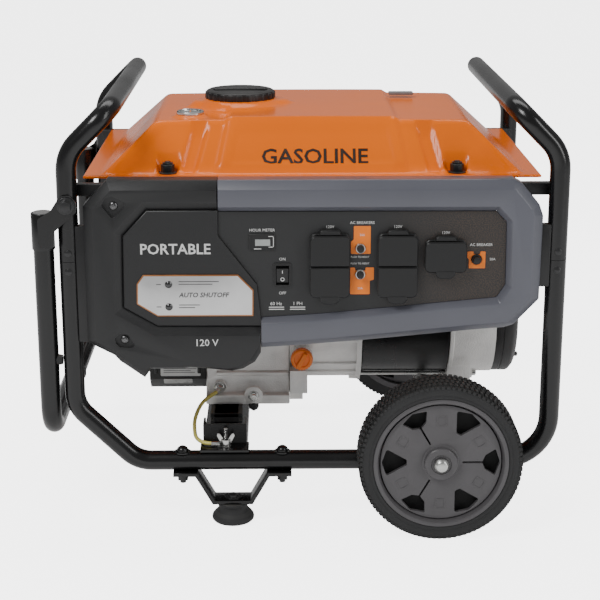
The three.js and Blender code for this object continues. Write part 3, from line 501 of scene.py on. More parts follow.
def rounded(outline, radius, steps=3):
    """An outline with an arc at each corner."""
    out = []
    for i, here in enumerate(outline):
        p, q, r = Vector(outline[i - 1]), Vector(here), Vector(outline[(i + 1) % len(outline)])
        a, b = (p - q).normalized(), (r - q).normalized()
        half = a.angle(b) / 2
        reach = min(radius / math.tan(half), (p - q).length * 0.45, (r - q).length * 0.45)
        size = reach * math.tan(half)
        centre = q + (a + b).normalized() * (size / math.sin(half))
        first, last = q + a * reach - centre, q + b * reach - centre
        for k in range(steps + 1):
            t = k / steps
            out.append(tuple(centre + (first.lerp(last, t)).normalized() * size))
    return out


tyre_in, tyre_out, seat_r = 236.1, 288.1, 86.0
tread_rows = ((4.6, 8.6, 0.0), (15.2, 9.4, 0.5), (26.6, 9.4, 0.0), (38.0, 8.6, 0.5))
tread_count = 96


def repeated(bm, centre, axis, count):
    """The whole mesh copied round an axis, count of them in all."""
    bmesh.ops.spin(bm, geom=bm.verts[:] + bm.edges[:] + bm.faces[:], cent=centre, axis=axis, dvec=(0, 0, 0),
                   angle=math.tau * (count - 1) / count, steps=count - 1, use_duplicate=True)


def square(left, low, right, high):
    """The outline of a rectangle."""
    return [(left, low), (right, low), (right, high), (left, high)]


window_wide = rounded([(68.5, -18), (74.5, 0), (68.5, 18), (43, 3.4), (43, -3.4)], 2.6)
window_slot = rounded([(68.5, -17.5), (74.5, 0), (68.5, 17.5), (56, 9.5), (52.5, 1.1), (27, 1.1), (27, -1.1),
                       (52.5, -1.1), (56, -9.5)], 1.0, 2)
for side, end in ((-1, "front"), (1, "rear")):
    hub = at(axle_x, 0, axle_z)
    outwards = Vector((0, side, 0))
    tyre = bmesh.new()
    turned(tyre, [(seat_r, tyre_in), (seat_r, tyre_out - 1.0), (seat_r + 1.2, tyre_out - 0.2), (88.5, tyre_out),
                  (90.5, tyre_out - 0.9), (92, tyre_out - 0.1), (97.2, tyre_out - 0.3), (99.6, tyre_out - 1.6),
                  (101.6, tyre_out - 4.2), (102.2, tyre_out - 7.5), (102.2, tyre_in + 7.5),
                  (101.6, tyre_in + 4.2), (99.6, tyre_in + 1.6), (97.2, tyre_in), (seat_r, tyre_in)], hub,
           outwards, 96)
    blocks = bmesh.new()
    pitch = math.tau / tread_count
    for start, width, offset in tread_rows:
        low = hub + Vector((-0.0021, side * (tyre_in + start + (0 if side > 0 else width)) / 1000, 0.1016))
        stud = block(blocks, low, low + Vector((0.0042, width / 1000, 0.0023)))
        bmesh.ops.rotate(blocks, verts=stud, cent=hub, matrix=Matrix.Rotation(offset * pitch, 3, "Y"))
    for y0, y1 in ((tyre_in + 0.6, tyre_in + 4.2), (tyre_out - 4.2, tyre_out - 0.6)):
        low = hub + Vector((-0.0019, side * y0 / 1000 if side > 0 else side * y1 / 1000, 0.0985))
        block(blocks, low, low + Vector((0.0038, 0.0036, 0.0036)))
    repeated(blocks, hub, (0, 1, 0), tread_count)
    merge_into(tyre, blocks)
    as_piece(tyre, "tyre_" + end + "_tread", tyre_rubber, end + "_wheel", ["tyre_" + end])

    rim = bmesh.new()
    lay = Matrix.Translation(hub) @ Matrix(((1, 0, 0, 0), (0, 0, side, 0), (0, 1, 0, 0), (0, 0, 0, 1)))
    windows = []
    for i in range(6):
        loop = window_wide if i % 2 else window_slot
        c, s = math.cos(i * math.pi / 3), math.sin(i * math.pi / 3)
        windows.append([(u * c - v * s, u * s + v * c) for u, v in loop])
    spider = bmesh.new()
    for depth, height, inner in ((tyre_out - 12.4, 6.2, 20.0), (tyre_in + 8, 5.0, 17.5)):
        faces = polygon_face(spider, circle(76.2, 120), windows + [circle(inner, 48)],
                                Matrix.Translation((0, side * depth / 1000, 0)) @ lay)
        thicken(spider, faces, (0, side * height / 1000, 0))
    made_whole(spider)
    break_edges(spider, 1.3, 3, 50)
    merge_into(rim, spider)
    turned(rim, [(77.5, tyre_in), (77.5, tyre_out - 8), (79, tyre_out - 2.6), (80.2, tyre_out - 0.6),
                 (81.6, tyre_out), (84.2, tyre_out), (85.2, tyre_out - 0.6), (85.7, tyre_out - 2),
                 (85.7, tyre_in), (77.5, tyre_in)], hub, outwards, 96)
    turned(rim, [(6.6, tyre_in + 4), (17, tyre_in + 4), (17.6, tyre_out - 14), (24.5, tyre_out - 9.4),
                 (25, tyre_out - 7.4), (23.4, tyre_out - 6.2), (21.6, tyre_out - 5.6), (21, tyre_out + 0.6),
                 (20, tyre_out + 1.6), (13, tyre_out + 1.9), (12.2, tyre_out + 0.8), (6.6, tyre_out + 0.8),
                 (6.6, tyre_in + 4)], hub, outwards, 48)
    for i in range(6):
        place = Matrix.Translation((0, side * (tyre_out - 6.4) / 1000, 0)) @ lay @ Matrix.Rotation(
            math.radians(30 + 60 * i), 4, "Z")
        faces = polygon_face(rim, rounded(square(49, -6.5, 62, 6.5), 2.0),
                             [rounded(square(50, -5.5, 61, 5.5), 1.5)], place)
        thicken(rim, faces, (0, side * 0.0009, 0))
    as_piece(rim, "rim_" + end + "_moulded", rim_plastic, end + "_wheel", ["rim_" + end])
    # A black disc at mid depth between the spiders paints the shade seen through the windows and slots.
    shade_disc = bmesh.new()
    turned(shade_disc, [(6.6, tyre_in + 15), (78, tyre_in + 15), (78, tyre_out - 20), (6.6, tyre_out - 20),
                  (6.6, tyre_in + 15)], hub, outwards, 72)
    as_piece(shade_disc, "rim_" + end + "_painted_shade_disc", wheel_painted_shade, end + "_wheel")

# ---- pull handle ---------------------------------------------------------------------------------
# A U of tube hangs outside the left uprights from two steel plates, so that the machine can be
# tipped onto its wheels. Each plate turns on a blackened bolt; caps close the tube ends.
arm_x, pivot_z, grip_z = -336.0, 425.0, 126.4
arm_end, stop_z = pivot_z - 12, 222.0


def facing(y):
    """Takes (x, z) outlines to a plane that faces out of the panel, with depth behind it."""
    return Matrix.Translation(at(0, y, 0)) @ Matrix(((1, 0, 0, 0), (0, 0, 1, 0), (0, 1, 0, 0), (0, 0, 0, 1)))


plate_y = frame_y + tube_r + 0.3
bm = bmesh.new()
bent_tube(bm, [at(arm_x, -frame_y, arm_end), at(arm_x, -frame_y, grip_z), at(arm_x, frame_y, grip_z),
               at(arm_x, frame_y, arm_end)], (0.034, 0.034), tube_r / 1000)
for side in (-1, 1):
    plate = bmesh.new()
    outline = rounded([(arm_x - 4, 371), (arm_x + 15, 371), (arm_x + 16, 392), (-292.5, 416), (-291.5, 429),
                       (-299.5, 438), (-311.5, 437), (arm_x + 12, 418), (arm_x - 4, 408)], 4.0)
    faces = polygon_face(plate, outline, [circle(5.4, 24, (-frame_x, pivot_z))],
                            facing(side * plate_y))
    thicken(plate, faces, (0, side * 0.003, 0))
    turned(plate, [(12.6, 367), (14.0, 367), (14.3, 368), (14.3, 412.6), (13.8, 413.4), (12.6, 413.4),
                   (12.6, 367)],
           at(arm_x, side * frame_y, 0), (0, 0, 1), 36)
    merge_into(bm, plate)
as_piece(bm, "pull_handle_tube", frame_paint, "pull_handle", ["pull_handle"])
cap_grey = surface("grey_end_cap", (0.2, 0.2, 0.2), 0.5, cloud=(40.0, 0.15), dusty=0.1)
soft_black = surface("soft_black_plastic", (0.008, 0.008, 0.0085), 0.4, cloud=(30.0, 0.15),
                     grain=(900.0, 0.00008), worn=(0.5, (0.12, 0.12, 0.12)), dusty=0.08)
for side, end in ((-1, "front"), (1, "rear")):
    plug = bmesh.new()
    turned(plug, [(0, -1), (11.8, -1), (11.8, 0.9), (11, 1.5), (0, 1.5)],
           at(arm_x, side * frame_y, arm_end), (0, 0, 1), 32)
    as_piece(plug, "tube_cap_" + end, cap_grey, "pull_handle")
    bump = bmesh.new()
    rod(bump, at(arm_x + 10.5, side * frame_y, stop_z), at(arm_x + 17.8, side * frame_y, stop_z),
        0.0075, 24, 0.006)
    as_piece(bump, "stop_buffer_" + end, foot_rubber, "pull_handle")
    dressed("pivot_bolt_" + end, rivet_steel, 0.8, 2)

# ---- fuel tank -----------------------------------------------------------------------------------
# Two deep drawn steel shells are seam welded at the flange and sprayed gloss orange. The upper one
# is pressed with a raised band, a channel over each bolt, and seats for the filler and the gauge.
tank_paint = surface("orange_enamel", (1.0, 0.18, 0.0), 0.2, cloud=(5.0, 0.05), grain=(260.0, 0.00003),
                     swing=0.05, worn=(0.25, (0.35, 0.09, 0.02)), dusty=0.03, Coat_Weight=0.12,
                     Coat_Roughness=0.06, Specular_IOR_Level=0.25)
tank_x, tank_y, seam_z = 288.0, 172.0, 448.0
flange_top = seam_z + 2
foot_half, foot_half_y, top_half, top_half_y, top_z_tank = 266.0, 164.0, 200.0, 122.0, 511.5
collar_z, gauge_z, fillet = 523.4, 515.2, 3.0
cap_x, gauge_x, gauge_y, bolt_x, bolt_y = -94.5, -157.5, -88.0, 183.5, 160.0


def ease(low, high, value):
    t = min(1.0, max(0.0, (value - low) / (high - low)))
    return t * t * (3 - 2 * t)


def lower_of(a, b, blend):
    """The lower of two heights, with the ridge between them rounded."""
    h = max(blend - abs(a - b), 0.0) / blend
    return min(a, b) - h * h * blend / 4


def pressed(x, y):
    """Height of the upper shell over a point, in millimetres."""
    ax, ay = abs(x), abs(y)
    end = flange_top + (foot_half - ax) * (top_z_tank - flange_top) / (foot_half - top_half)
    face = flange_top + (foot_half_y - ay) * (top_z_tank - flange_top) / (foot_half_y - top_half_y)
    up = min(1.0, max(0.0, (foot_half_y - ay) / (foot_half_y - top_half_y)))
    hip = foot_half - (foot_half - top_half) * up
    lid = top_z_tank + 1.0 - 1.5 * (ax / top_half) ** 2
    # The faces are set back inside a border along the hips.
    set_back = ease(11, 17, hip - ax) * ease(0.05, 0.16, up) * (1 - ease(0.93, 1.0, up))
    face -= 3.4 * set_back
    # A broad band stands up from the face and runs over the top, with a shallower field inside.
    band_edge = 122 - 14 * up
    band = 1 - ease(band_edge - 4, band_edge + 5, ax)
    field = (1 - ease(band_edge - 17, band_edge - 12, ax)) * ease(0.13, 0.2, up) * (1 - ease(0.78, 0.86, up))
    face += 6.2 * band * ease(0.04, 0.14, up) - 2.2 * field
    lid += 4.2 * band
    # A slanting channel runs up from each bolt.
    channel_in, channel_out = 151 - 18 * up, 169 - 17 * up
    channel = ease(channel_in - 3, channel_in + 3, ax) * (1 - ease(channel_out - 3, channel_out + 3, ax))
    face -= 7.5 * channel * ease(0.0, 0.12, up) * (1 - ease(0.9, 1.0, up))
    height = lower_of(lower_of(end, face, 4.0), lid, 5.0)
    # Seats for the filler ring and the gauge, with two ears on the ring.
    far = math.hypot(x - cap_x, y)
    ears = math.hypot((x - cap_x) * 0.84, y * 1.5)
    ring = max(1 - ease(46, 63, far), 0.7 * (1 - ease(50, 62, ears)))
    height += (collar_z - height) * ring
    height += (gauge_z - height) * (1 - ease(18, 24, math.hypot(x - gauge_x, y - gauge_y)))
    # The pocket at each bolt head.
    pocket = (1 - ease(12.5, 15.5, abs(ax - bolt_x))) * ease(146, 150, ay)
    height += (flange_top - height) * pocket
    return max(flange_top, height) if height - flange_top > fillet else (
        flange_top + max(0.0, height - flange_top + fillet) ** 2 / (4 * fillet))


shell = bmesh.new()
bmesh.ops.create_grid(shell, x_segments=180, y_segments=108, size=1.0)
for v in shell.verts:
    x, y = v.co.x * tank_x, v.co.y * tank_y
    v.co = at(x, y, pressed(x, y))
grown = bmesh.ops.extrude_edge_only(shell, edges=[e for e in shell.edges if e.is_boundary])["geom"]
bmesh.ops.translate(shell, verts=verts_in(grown), vec=(0, 0, -0.0017))
bmesh.ops.contextual_create(shell, geom=[e for e in shell.edges if e.is_boundary])
bead = [at(-tank_x, -tank_y, seam_z), at(tank_x, -tank_y, seam_z), at(tank_x, tank_y, seam_z),
        at(-tank_x, tank_y, seam_z)]
for start, end in zip(bead, bead[1:] + bead[:1]):
    rod(shell, start, end, 0.0017, 12)
as_piece(shell, "tank_upper_pressing", tank_paint, stands_for=["tank_upper"], crease=50)

lower = bmesh.new()
body_low = block(lower, at(-248, -140, 398), at(248, 140, seam_z - 0.4))
under_flange = at(0, 0, seam_z - 1).z
break_edges(lower, 14, 5, 30, [e for e in edges_of(body_low) if min(v.co.z for v in e.verts) <= under_flange])
block(lower, at(-tank_x + 1, -tank_y + 1, seam_z - 2), at(tank_x - 1, tank_y - 1, seam_z - 0.3))
for x in (-120, 0, 120):
    rib = block(lower, at(x - 9, -112, 396.4), at(x + 9, 112, 399))
    break_edges(lower, 1.2, 2, 30, edges_of(rib))
as_piece(lower, "tank_lower_pressing", tank_paint, stands_for=["tank_lower"])


def filled_out(name, curve):
    """A curve or a text as a solid mesh."""
    drawn = in_scene(name, curve)
    bpy.context.view_layer.update()
    mesh = bpy.data.meshes.new_from_object(drawn.evaluated_get(bpy.context.evaluated_depsgraph_get()))
    bpy.data.objects.remove(drawn)
    made = bmesh.new()
    made.from_mesh(mesh)
    bpy.data.meshes.remove(mesh)
    return made


def lettering(text, size, place, weight=0.0, out=Vector((0, -1, 0))):
    """Plain letters 0.2 mm thick, centred; the place function takes each point to its surface."""
    curve = bpy.data.curves.new("lettering", "FONT")
    curve.body, curve.size, curve.align_x, curve.offset = text, size / 1000, "CENTER", weight / 1000
    curve.resolution_u, curve.extrude = 2, 0.0001
    made = filled_out("lettering", curve)
    for v in made.verts:
        v.co = place(v.co.x * 1000, v.co.y * 1000) + out * v.co.z
    return made


def on_slope(u, v):
    """A place on the tank's front face: u across, v up the slope from near its foot."""
    y = -156.5 + v * 0.57
    return at(u + 3, y, pressed(u + 3, y) + 0.35)


dark_ink = surface("dark_ink", (0.03, 0.018, 0.012), 0.35, cloud=(60.0, 0.1))
as_piece(lettering("GASOLINE", 29, on_slope, 0.5, Vector((0, -0.83, 0.56))), "tank_lettering", dark_ink)
vent = bmesh.new()
block(vent, at(112, 66, 515.5), at(146, 80, 519.6))
break_edges(vent, 1.0, 2)
as_piece(vent, "tank_vent_valve", cap_grey)

# Each rail under the seam flange has two rubber washered bolts up through it.
for side, end in ((-1, "front"), (1, "rear")):
    def heads(bm, side=side):
        for x in (-bolt_x, bolt_x):
            seat = at(x, side * bolt_y, flange_top)
            turned(bm, [(0, 0.5), (11.5, 0.5), (11.5, 1.9), (9.4, 2.7), (0, 2.7)], seat, (0, 0, 1), 28)
            rod(bm, seat + Vector((0, 0, 0.009)), seat + Vector((0, 0, 0.0144)), 0.0072, 6)
    dressed("tank_rail_" + end, soft_black, 0.8, 2, heads)

# ---- filler cap, gauge and fuel lever ------------------------------------------------------------
# The cap is a ribbed black moulding that screws down on the filler ring. The gauge is a glazed
# dial in a plated bezel; the fuel lever is a small moulded blade under the tank.
cap = bmesh.new()
cap_z, cap_ribs = 519.3, 24
turned(cap, [(0, cap_z + 4), (33.5, cap_z + 4), (33.5, cap_z), (42, cap_z), (45.5, cap_z + 1),
             (46.4, cap_z + 3), (46.4, cap_z + 11), (45.6, cap_z + 13.4), (43, cap_z + 14.8),
             (38, cap_z + 15.2), (36.5, cap_z + 14.2), (20, cap_z + 14.6), (0, cap_z + 14.8)], at(cap_x, 0, 0),
       (0, 0, 1), 96)
ribs = bmesh.new()
block(ribs, at(cap_x - 3.6, -47.4, cap_z + 1.6), at(cap_x + 3.6, -44.0, cap_z + 12.6))
break_edges(ribs, 1.3, 2)
repeated(ribs, at(cap_x, 0, 0), (0, 0, 1), cap_ribs)
merge_into(cap, ribs)
bar = block(cap, at(cap_x - 36, -7, cap_z + 13), at(cap_x + 36, 7, cap_z + 17))
break_edges(cap, 2.4, 3, 30, edges_of(bar))
as_piece(cap, "fuel_cap_moulding", soft_black, "fuel_cap", ["fuel_cap"])

gauge_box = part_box("fuel_gauge")
gauge_at = Vector(((gauge_box[0].x + gauge_box[1].x) / 2, (gauge_box[0].y + gauge_box[1].y) / 2, 0))
ring = bmesh.new()
turned(ring, [(0, 513), (15.6, 513), (15.6, 515.4), (18, 515.4), (18, 517.6), (17, 519), (15.2, 519.4),
              (14.2, 518.4), (14, 517.2), (0, 517.2)], gauge_at, (0, 0, 1), 48)
as_piece(ring, "fuel_gauge_bezel", bright_zinc, stands_for=["fuel_gauge"])
dial_grey = surface("dial_grey", (0.16, 0.16, 0.155), 0.35, cloud=(60.0, 0.06), Coat_Weight=1.0,
                    Coat_Roughness=0.03)
dial = bmesh.new()
turned(dial, [(0, 517.1), (13.9, 517.1), (13.6, 517.6), (9, 518.3), (0, 518.6)], gauge_at, (0, 0, 1), 40)
as_piece(dial, "fuel_gauge_dial", dial_grey)
signal_orange = surface("orange_plastic", (0.9, 0.2, 0.004), 0.42, cloud=(30.0, 0.1), grain=(900.0, 0.00006),
                        worn=(0.3, (0.75, 0.3, 0.1)))
needle = bmesh.new()
block(needle, gauge_at + Vector((-0.0008, -0.009, 0.5181)), gauge_at + Vector((0.0008, 0.004, 0.5187)))
as_piece(needle, "fuel_gauge_needle", signal_orange)
dressed("fuel_lever", signal_orange, 1.0, 3)

# ---- control panel: black section ------------------------------------------------------------------
# The left of the panel is a thick injection moulding in textured black. A raised band with two
# screw pockets runs round an octagonal field, which carries a bright plate with two lamps.
panel_black = surface("textured_black", (0.0125, 0.0127, 0.0133), 0.42, cloud=(20.0, 0.1),
                      grain=(1100.0, 0.00009), worn=(0.35, (0.12, 0.12, 0.12)), dusty=0.05)


def moved_in(outline, amounts):
    """The outline with each side moved inwards by its own amount, or all by one."""
    if isinstance(amounts, (int, float)):
        amounts = [amounts] * len(outline)
    area = sum(a[0] * b[1] - b[0] * a[1] for a, b in zip(outline, outline[1:] + outline[:1]))
    way = 1 if area > 0 else -1
    lines = []
    for i, (p, q) in enumerate(zip(outline, outline[1:] + outline[:1])):
        d = (Vector(q) - Vector(p)).normalized()
        lines.append((Vector(p) + Vector((-d.y, d.x)) * way * amounts[i], d))
    out = []
    for (p, d), (q, e) in zip(lines[-1:] + lines[:-1], lines):
        cross = d.x * e.y - d.y * e.x
        t = ((q - p).x * e.y - (q - p).y * e.x) / cross if abs(cross) > 0.02 else (q - p).dot(d)
        out.append(tuple(p + d * t))
    return out


def stepped(bm, rings, holes=()):
    """A solid through (outline, y) rings from back to front; holes are (outline, depth) pockets."""
    def ring_at(outline, y):
        return [facing(y) @ Vector((x / 1000, z / 1000, 0)) for x, z in outline]

    here = [bm.verts.new(place) for place in ring_at(*rings[0])]
    edges = bm.faces.new(here).edges[:]
    for ring in rings[1:]:
        grown = bmesh.ops.extrude_edge_only(bm, edges=edges)["geom"]
        tips = set(verts_in(grown))
        here = [next(e.other_vert(v) for e in v.link_edges if e.other_vert(v) in tips) for v in here]
        for v, place in zip(here, ring_at(*ring)):
            v.co = place
        edges = [e for e in edges_in(grown) if tips.issuperset(e.verts)]
    loops = []
    for outline, depth in holes:
        corners = [bm.verts.new(place) for place in ring_at(outline, rings[-1][1])]
        loops.append([bm.edges.new(pair) for pair in zip(corners, corners[1:] + corners[:1])])
    bmesh.ops.triangle_fill(bm, use_beauty=True, use_dissolve=False, edges=edges + sum(loops, []))
    for loop, (outline, depth) in zip(loops, holes):
        grown = bmesh.ops.extrude_edge_only(bm, edges=loop)["geom"]
        tips = set(verts_in(grown))
        bmesh.ops.translate(bm, verts=list(tips), vec=(0, depth / 1000, 0))
        bottom = [e for e in edges_in(grown) if tips.issuperset(e.verts)]
        bmesh.ops.triangle_fill(bm, use_beauty=True, use_dissolve=True, edges=bottom)


split_x, panel_top, panel_x = -118.6, 456.0, 283.8
front_y, back_y, face_y = -240.0, -207.0, -232.0
octagon = [(-66.35, 272), (-195, 272.5), (-235.6, 296), (-234, 386), (-205, 417), (split_x - 0.15, 417)]
band = [(split_x - 0.15, panel_top), (-253.8, panel_top), (-panel_x, 424), (-panel_x, 250), (-275, 244),
        (-251, 231.5), (-244, 223.5), (-213.5, 201.5), (-205.5, 213), (-165, 213), (-156, 214.8), (-143.6, 214),
        (-103, 210), (-89, 213), (-74, 222), (-66.6, 234), *octagon]
facets = [11, 11, 12, 9, 9, 8, 8, 4, 5, 5, 5, 5, 6, 7, 7, 0.5, 13, 13, 13, 13, 13, 0.5]
kite_high = [(-260.4, 426.2), (-255.8, 435.6), (-247.2, 438.4), (-231.4, 430.6), (-233, 423), (-247.2, 409.6)]
kite_low = [(-248.6, 257), (-241.6, 263), (-233, 261.6), (-223.8, 247.4), (-228.4, 243.4), (-243, 244.6),
            (-248, 250)]
bm = bmesh.new()
stepped(bm, [(band, back_y), (band, -231), (moved_in(band, facets), front_y)],
        [(rounded(kite_high, 2.5), 4.6), (rounded(kite_low, 2.5), 4.6)])
made_whole(bm, 0.6)
break_edges(bm, 0.9, 2, 18)
field = [*octagon, (split_x - 0.15, 387), (-70.85, 324), (-66.35, 281)]
wide = moved_in(field, [-1.5] * 5 + [0] * 4)
stepped(bm, [(wide, back_y), (wide, -234.8), (moved_in(field, [-0.5] * 5 + [0] * 4), -235.6)])
as_piece(bm, "panel_black_moulding", panel_black, stands_for=["panel_left"])

screw_black = surface("blackened_screw", (0.12, 0.12, 0.122), 0.25, 0.9, worn=(0.8, (0.5, 0.5, 0.5)))
for i, (x, z) in enumerate(((-246, 425), (-237, 253.5))):
    screw = bmesh.new()
    turned(screw, [(0, 0), (5.4, 0), (5.3, 0.9), (4.2, 2.1), (2.2, 2.7), (0, 2.9)], at(x, -235.4, z),
           (0, -1, 0), 28)
    for turn in (0, 90):
        slot_bar = block(screw, at(x - 2.6, -238.4, z - 0.45), at(x + 2.6, -238.1, z + 0.45))
        bmesh.ops.rotate(screw, verts=slot_bar, cent=at(x, 0, z),
                         matrix=Matrix.Rotation(math.radians(turn + 20), 3, "Y"))
    as_piece(screw, "panel_screw_%d" % (i + 1), screw_black)

# The plate: brushed bright foil in a copper border, two dark lamps and short printed rules.
plate_silver = surface("brushed_foil", (0.66, 0.66, 0.66), 0.34, 0.5, cloud=(6.0, 0.35), swing=0.1,
                       Coat_Weight=0.5)
badge = [(-212, 337.5), (-220, 326), (-220.6, 300), (-195, 284), (-75.5, 284), (-75, 317.5), (-94, 337.5)]
border = bmesh.new()
stepped(border, [(badge, -234.8), (badge, -236.9), (moved_in(badge, 0.5), -237.2)])
copper = surface("copper_foil", (0.42, 0.17, 0.06), 0.32, 0.5, cloud=(30.0, 0.2))
as_piece(border, "badge_border", copper)
foil = bmesh.new()
stepped(foil, [(moved_in(badge, 1.6), -237.0), (moved_in(badge, 1.6), -237.5), (moved_in(badge, 1.9), -237.65)])
as_piece(foil, "badge_foil", plate_silver)
lamp_x, lamp_heights, ink_back, ink_front = -180.5, (325.5, 296.5), -237.6, -237.75
lamp_dark = surface("dark_lens", (0.008, 0.008, 0.009), 0.12, cloud=(60.0, 0.2), Coat_Weight=1.0)
for i, z in enumerate(lamp_heights):
    lamp_bm = bmesh.new()
    turned(lamp_bm, [(0, 0), (4.6, 0), (4.6, 0.6), (3.9, 0.9), (3.4, 1.7), (1.8, 2.4), (0, 2.6)],
           at(lamp_x, -237.5, z), (0, -1, 0), 32)
    as_piece(lamp_bm, "lamp_%d" % (i + 1), lamp_dark)
print_grey = surface("grey_ink", (0.07, 0.07, 0.07), 0.5, cloud=(90.0, 0.1))
rules = bmesh.new()
for x0, x1, z in ((-168, -118, 328.6), (-168, -126, 325.2), (-168, -142, 298.4), (-168, -148, 295.0)):
    block(rules, at(x0, ink_front, z), at(x1, ink_back, z + 1.0))
for z in lamp_heights:
    block(rules, at(-196, ink_front, z - 0.5), at(-190, ink_back, z + 0.5))
merge_into(rules, lettering("AUTO SHUTOFF", 8.4, lambda u, v: at(-137 + u + 0.2 * v, ink_front, 309 + v), 0.2))
as_piece(rules, "badge_rules", print_grey)
white_ink = surface("white_ink", (0.7, 0.7, 0.69), 0.45, cloud=(90.0, 0.05))
title = lettering("PORTABLE", 18.5, lambda u, v: at(-171.5 + u, -235.7, 364 + v), 0.3)
merge_into(title, lettering("120 V", 12.5, lambda u, v: at(-134.5 + u, -240.15, 246 + v), 0.1))
as_piece(title, "panel_title", white_ink)

# ---- control panel: grey bezel ---------------------------------------------------------------------
# A satin blue grey moulding frames the outlets. Broad facets run along its outside and its inside
# slopes down to the face; a black clip at each end ties the panel to an upright. The left clip runs
# far down, so its black also paints the shade in the gap beside the upright.
panel_grey = surface("satin_blue_grey", (0.105, 0.108, 0.13), 0.34, cloud=(8.0, 0.06), grain=(1200.0, 0.00004),
                     worn=(0.35, (0.24, 0.25, 0.28)), dusty=0.04, Coat_Weight=0.2)
bezel = [(split_x + 0.15, panel_top), (split_x + 0.15, 417), (225, 416.5), (238.5, 402), (239.5, 322.5),
         (229, 306), (9, 285.5), (-66.05, 281), (-66.05, 241), (-20, 243.5), (62, 250), (200, 263), (240, 266),
         (252, 270), (panel_x - 1, 303), (panel_x, 410), (panel_x - 5, 424), (panel_x - 27, 450),
         (panel_x - 38, panel_top)]
slopes = [0.5, 7, 7, 7, 7, 7, 7, 0.5, 9, 9, 9, 9, 9, 11, 12.5, 11, 11, 10, 11]
bm = bmesh.new()
stepped(bm, [(bezel, back_y), (bezel, -231), (moved_in(bezel, slopes), front_y)])
made_whole(bm, 0.6)
break_edges(bm, 1.1, 3, 12)
as_piece(bm, "panel_grey_bezel", panel_grey, stands_for=["panel_bezel"])
clips_and_gap_shade = bmesh.new()
block(clips_and_gap_shade, at(panel_x - 8, -229, 318), at(frame_x - 9, -215, 398))
# The left clip reaches down to 248 mm: partly a bracket, partly painted shade filling the gap by the upright.
block(clips_and_gap_shade, at(-frame_x + 9, -229, 248), at(-panel_x + 8, -215, 398))
break_edges(clips_and_gap_shade, 2.0)
as_piece(clips_and_gap_shade, "panel_clips_and_gap_shade", soft_black)

# ---- control panel: outlet face ----------------------------------------------------------------------
# The recessed face is textured dark grey, with a printed brown speckle that thickens to the right.
# It carries an hour meter, a rocker switch, three breakers and the covered outlets.
face_paint = surface("speckled_face", (0.019, 0.0194, 0.02), 0.48, cloud=(18.0, 0.1), grain=(1000.0, 0.00008))
speckle, speckle_in, speckle_out = node_group("speckle", {"Start": 0.09, "End": 0.2}, ["Mask"])
speckle_place = node(speckle, "TexCoord").outputs["Object"]
axes = node(speckle, "SeparateXYZ", Vector=speckle_place)
along = node(speckle, "MapRange", Value=axes.outputs["X"], From_Min=speckle_in["Start"],
             From_Max=speckle_in["End"])
specks = node(speckle, "TexNoise", Vector=speckle_place, Scale=750.0, Detail=1.0)
crisp = node(speckle, "MapRange", Value=specks.outputs["Fac"], From_Min=0.42, From_Max=0.6)
both = speckle.nodes.new("ShaderNodeMath")
both.operation = "MULTIPLY"
speckle.links.new(along.outputs["Result"], both.inputs[0])
speckle.links.new(crisp.outputs["Result"], both.inputs[1])
speckle.links.new(both.outputs["Value"], speckle_out["Mask"])
tree = face_paint.node_tree
face_colour = tree.nodes["Principled BSDF"].inputs["Base Color"]
mask = tree.nodes.new("ShaderNodeGroup")
mask.node_tree = speckle
tree.links.new(tinted(tree, mask.outputs["Mask"], face_colour.links[0].from_socket, (0.06, 0.042, 0.032)),
               face_colour)

switch_x, switch_z = -38.9, 335.5
breakers = (("a", 58.0, 369.7), ("b", 58.0, 336.4), ("c", 202.6, 355.0))
outlets = (("a", 20.0, 50.0, 388.0, 2), ("b", 104.0, 50.0, 388.0, 2), ("c", 163.5, 52.0, 380.0, 1))
face = [(split_x + 0.15, 387), (-70.55, 324), (-66.05, 281.4), (9, 285.9), (228.7, 306.4), (239.1, 322.6),
        (238.1, 401.7), (224.7, 416.1), (split_x + 0.15, 416.6)]
switch_slot = square(switch_x - 8.2, switch_z - 12.6, switch_x + 8.2, switch_z + 12.6)
bm = bmesh.new()
stepped(bm, [(face, face_y + 10), (face, face_y)],
        [(switch_slot, 6.0)] + [(circle(4.9, 24, (x, z)), 9.0) for _, x, z in breakers])
as_piece(bm, "panel_face_plate", face_paint, stands_for=["panel_face"])
dressed("panel_box", frame_paint, 1.0)

guard = bmesh.new()
meter = [(-80.5, 388.5), (-80.5, 367.5), (-47.5, 367.5), (-47.5, 388.5)]
stepped(guard, [(rounded(meter, 2), face_y + 0.5), (rounded(meter, 2), face_y - 1.2),
                (rounded(moved_in(meter, 0.8), 1.5), face_y - 1.8)],
        [(square(-73, 373, -53.5, 382), 1.0)])
collar = square(switch_x - 11, switch_z - 15.4, switch_x + 11, switch_z + 15.4)
faces = polygon_face(guard, rounded(collar, 2.5), [switch_slot], facing(face_y + 0.4))
thicken(guard, faces, (0, -0.0022, 0))
as_piece(guard, "meter_and_switch_frames", soft_black)
glass = surface("liquid_crystal", (0.32, 0.34, 0.33), 0.2, cloud=(50.0, 0.1), Coat_Weight=1.0,
                Coat_Roughness=0.05)
lcd = bmesh.new()
block(lcd, at(-72.6, face_y - 1.4, 373.4), at(-53.9, face_y - 0.6, 381.6))
as_piece(lcd, "meter_window", glass)

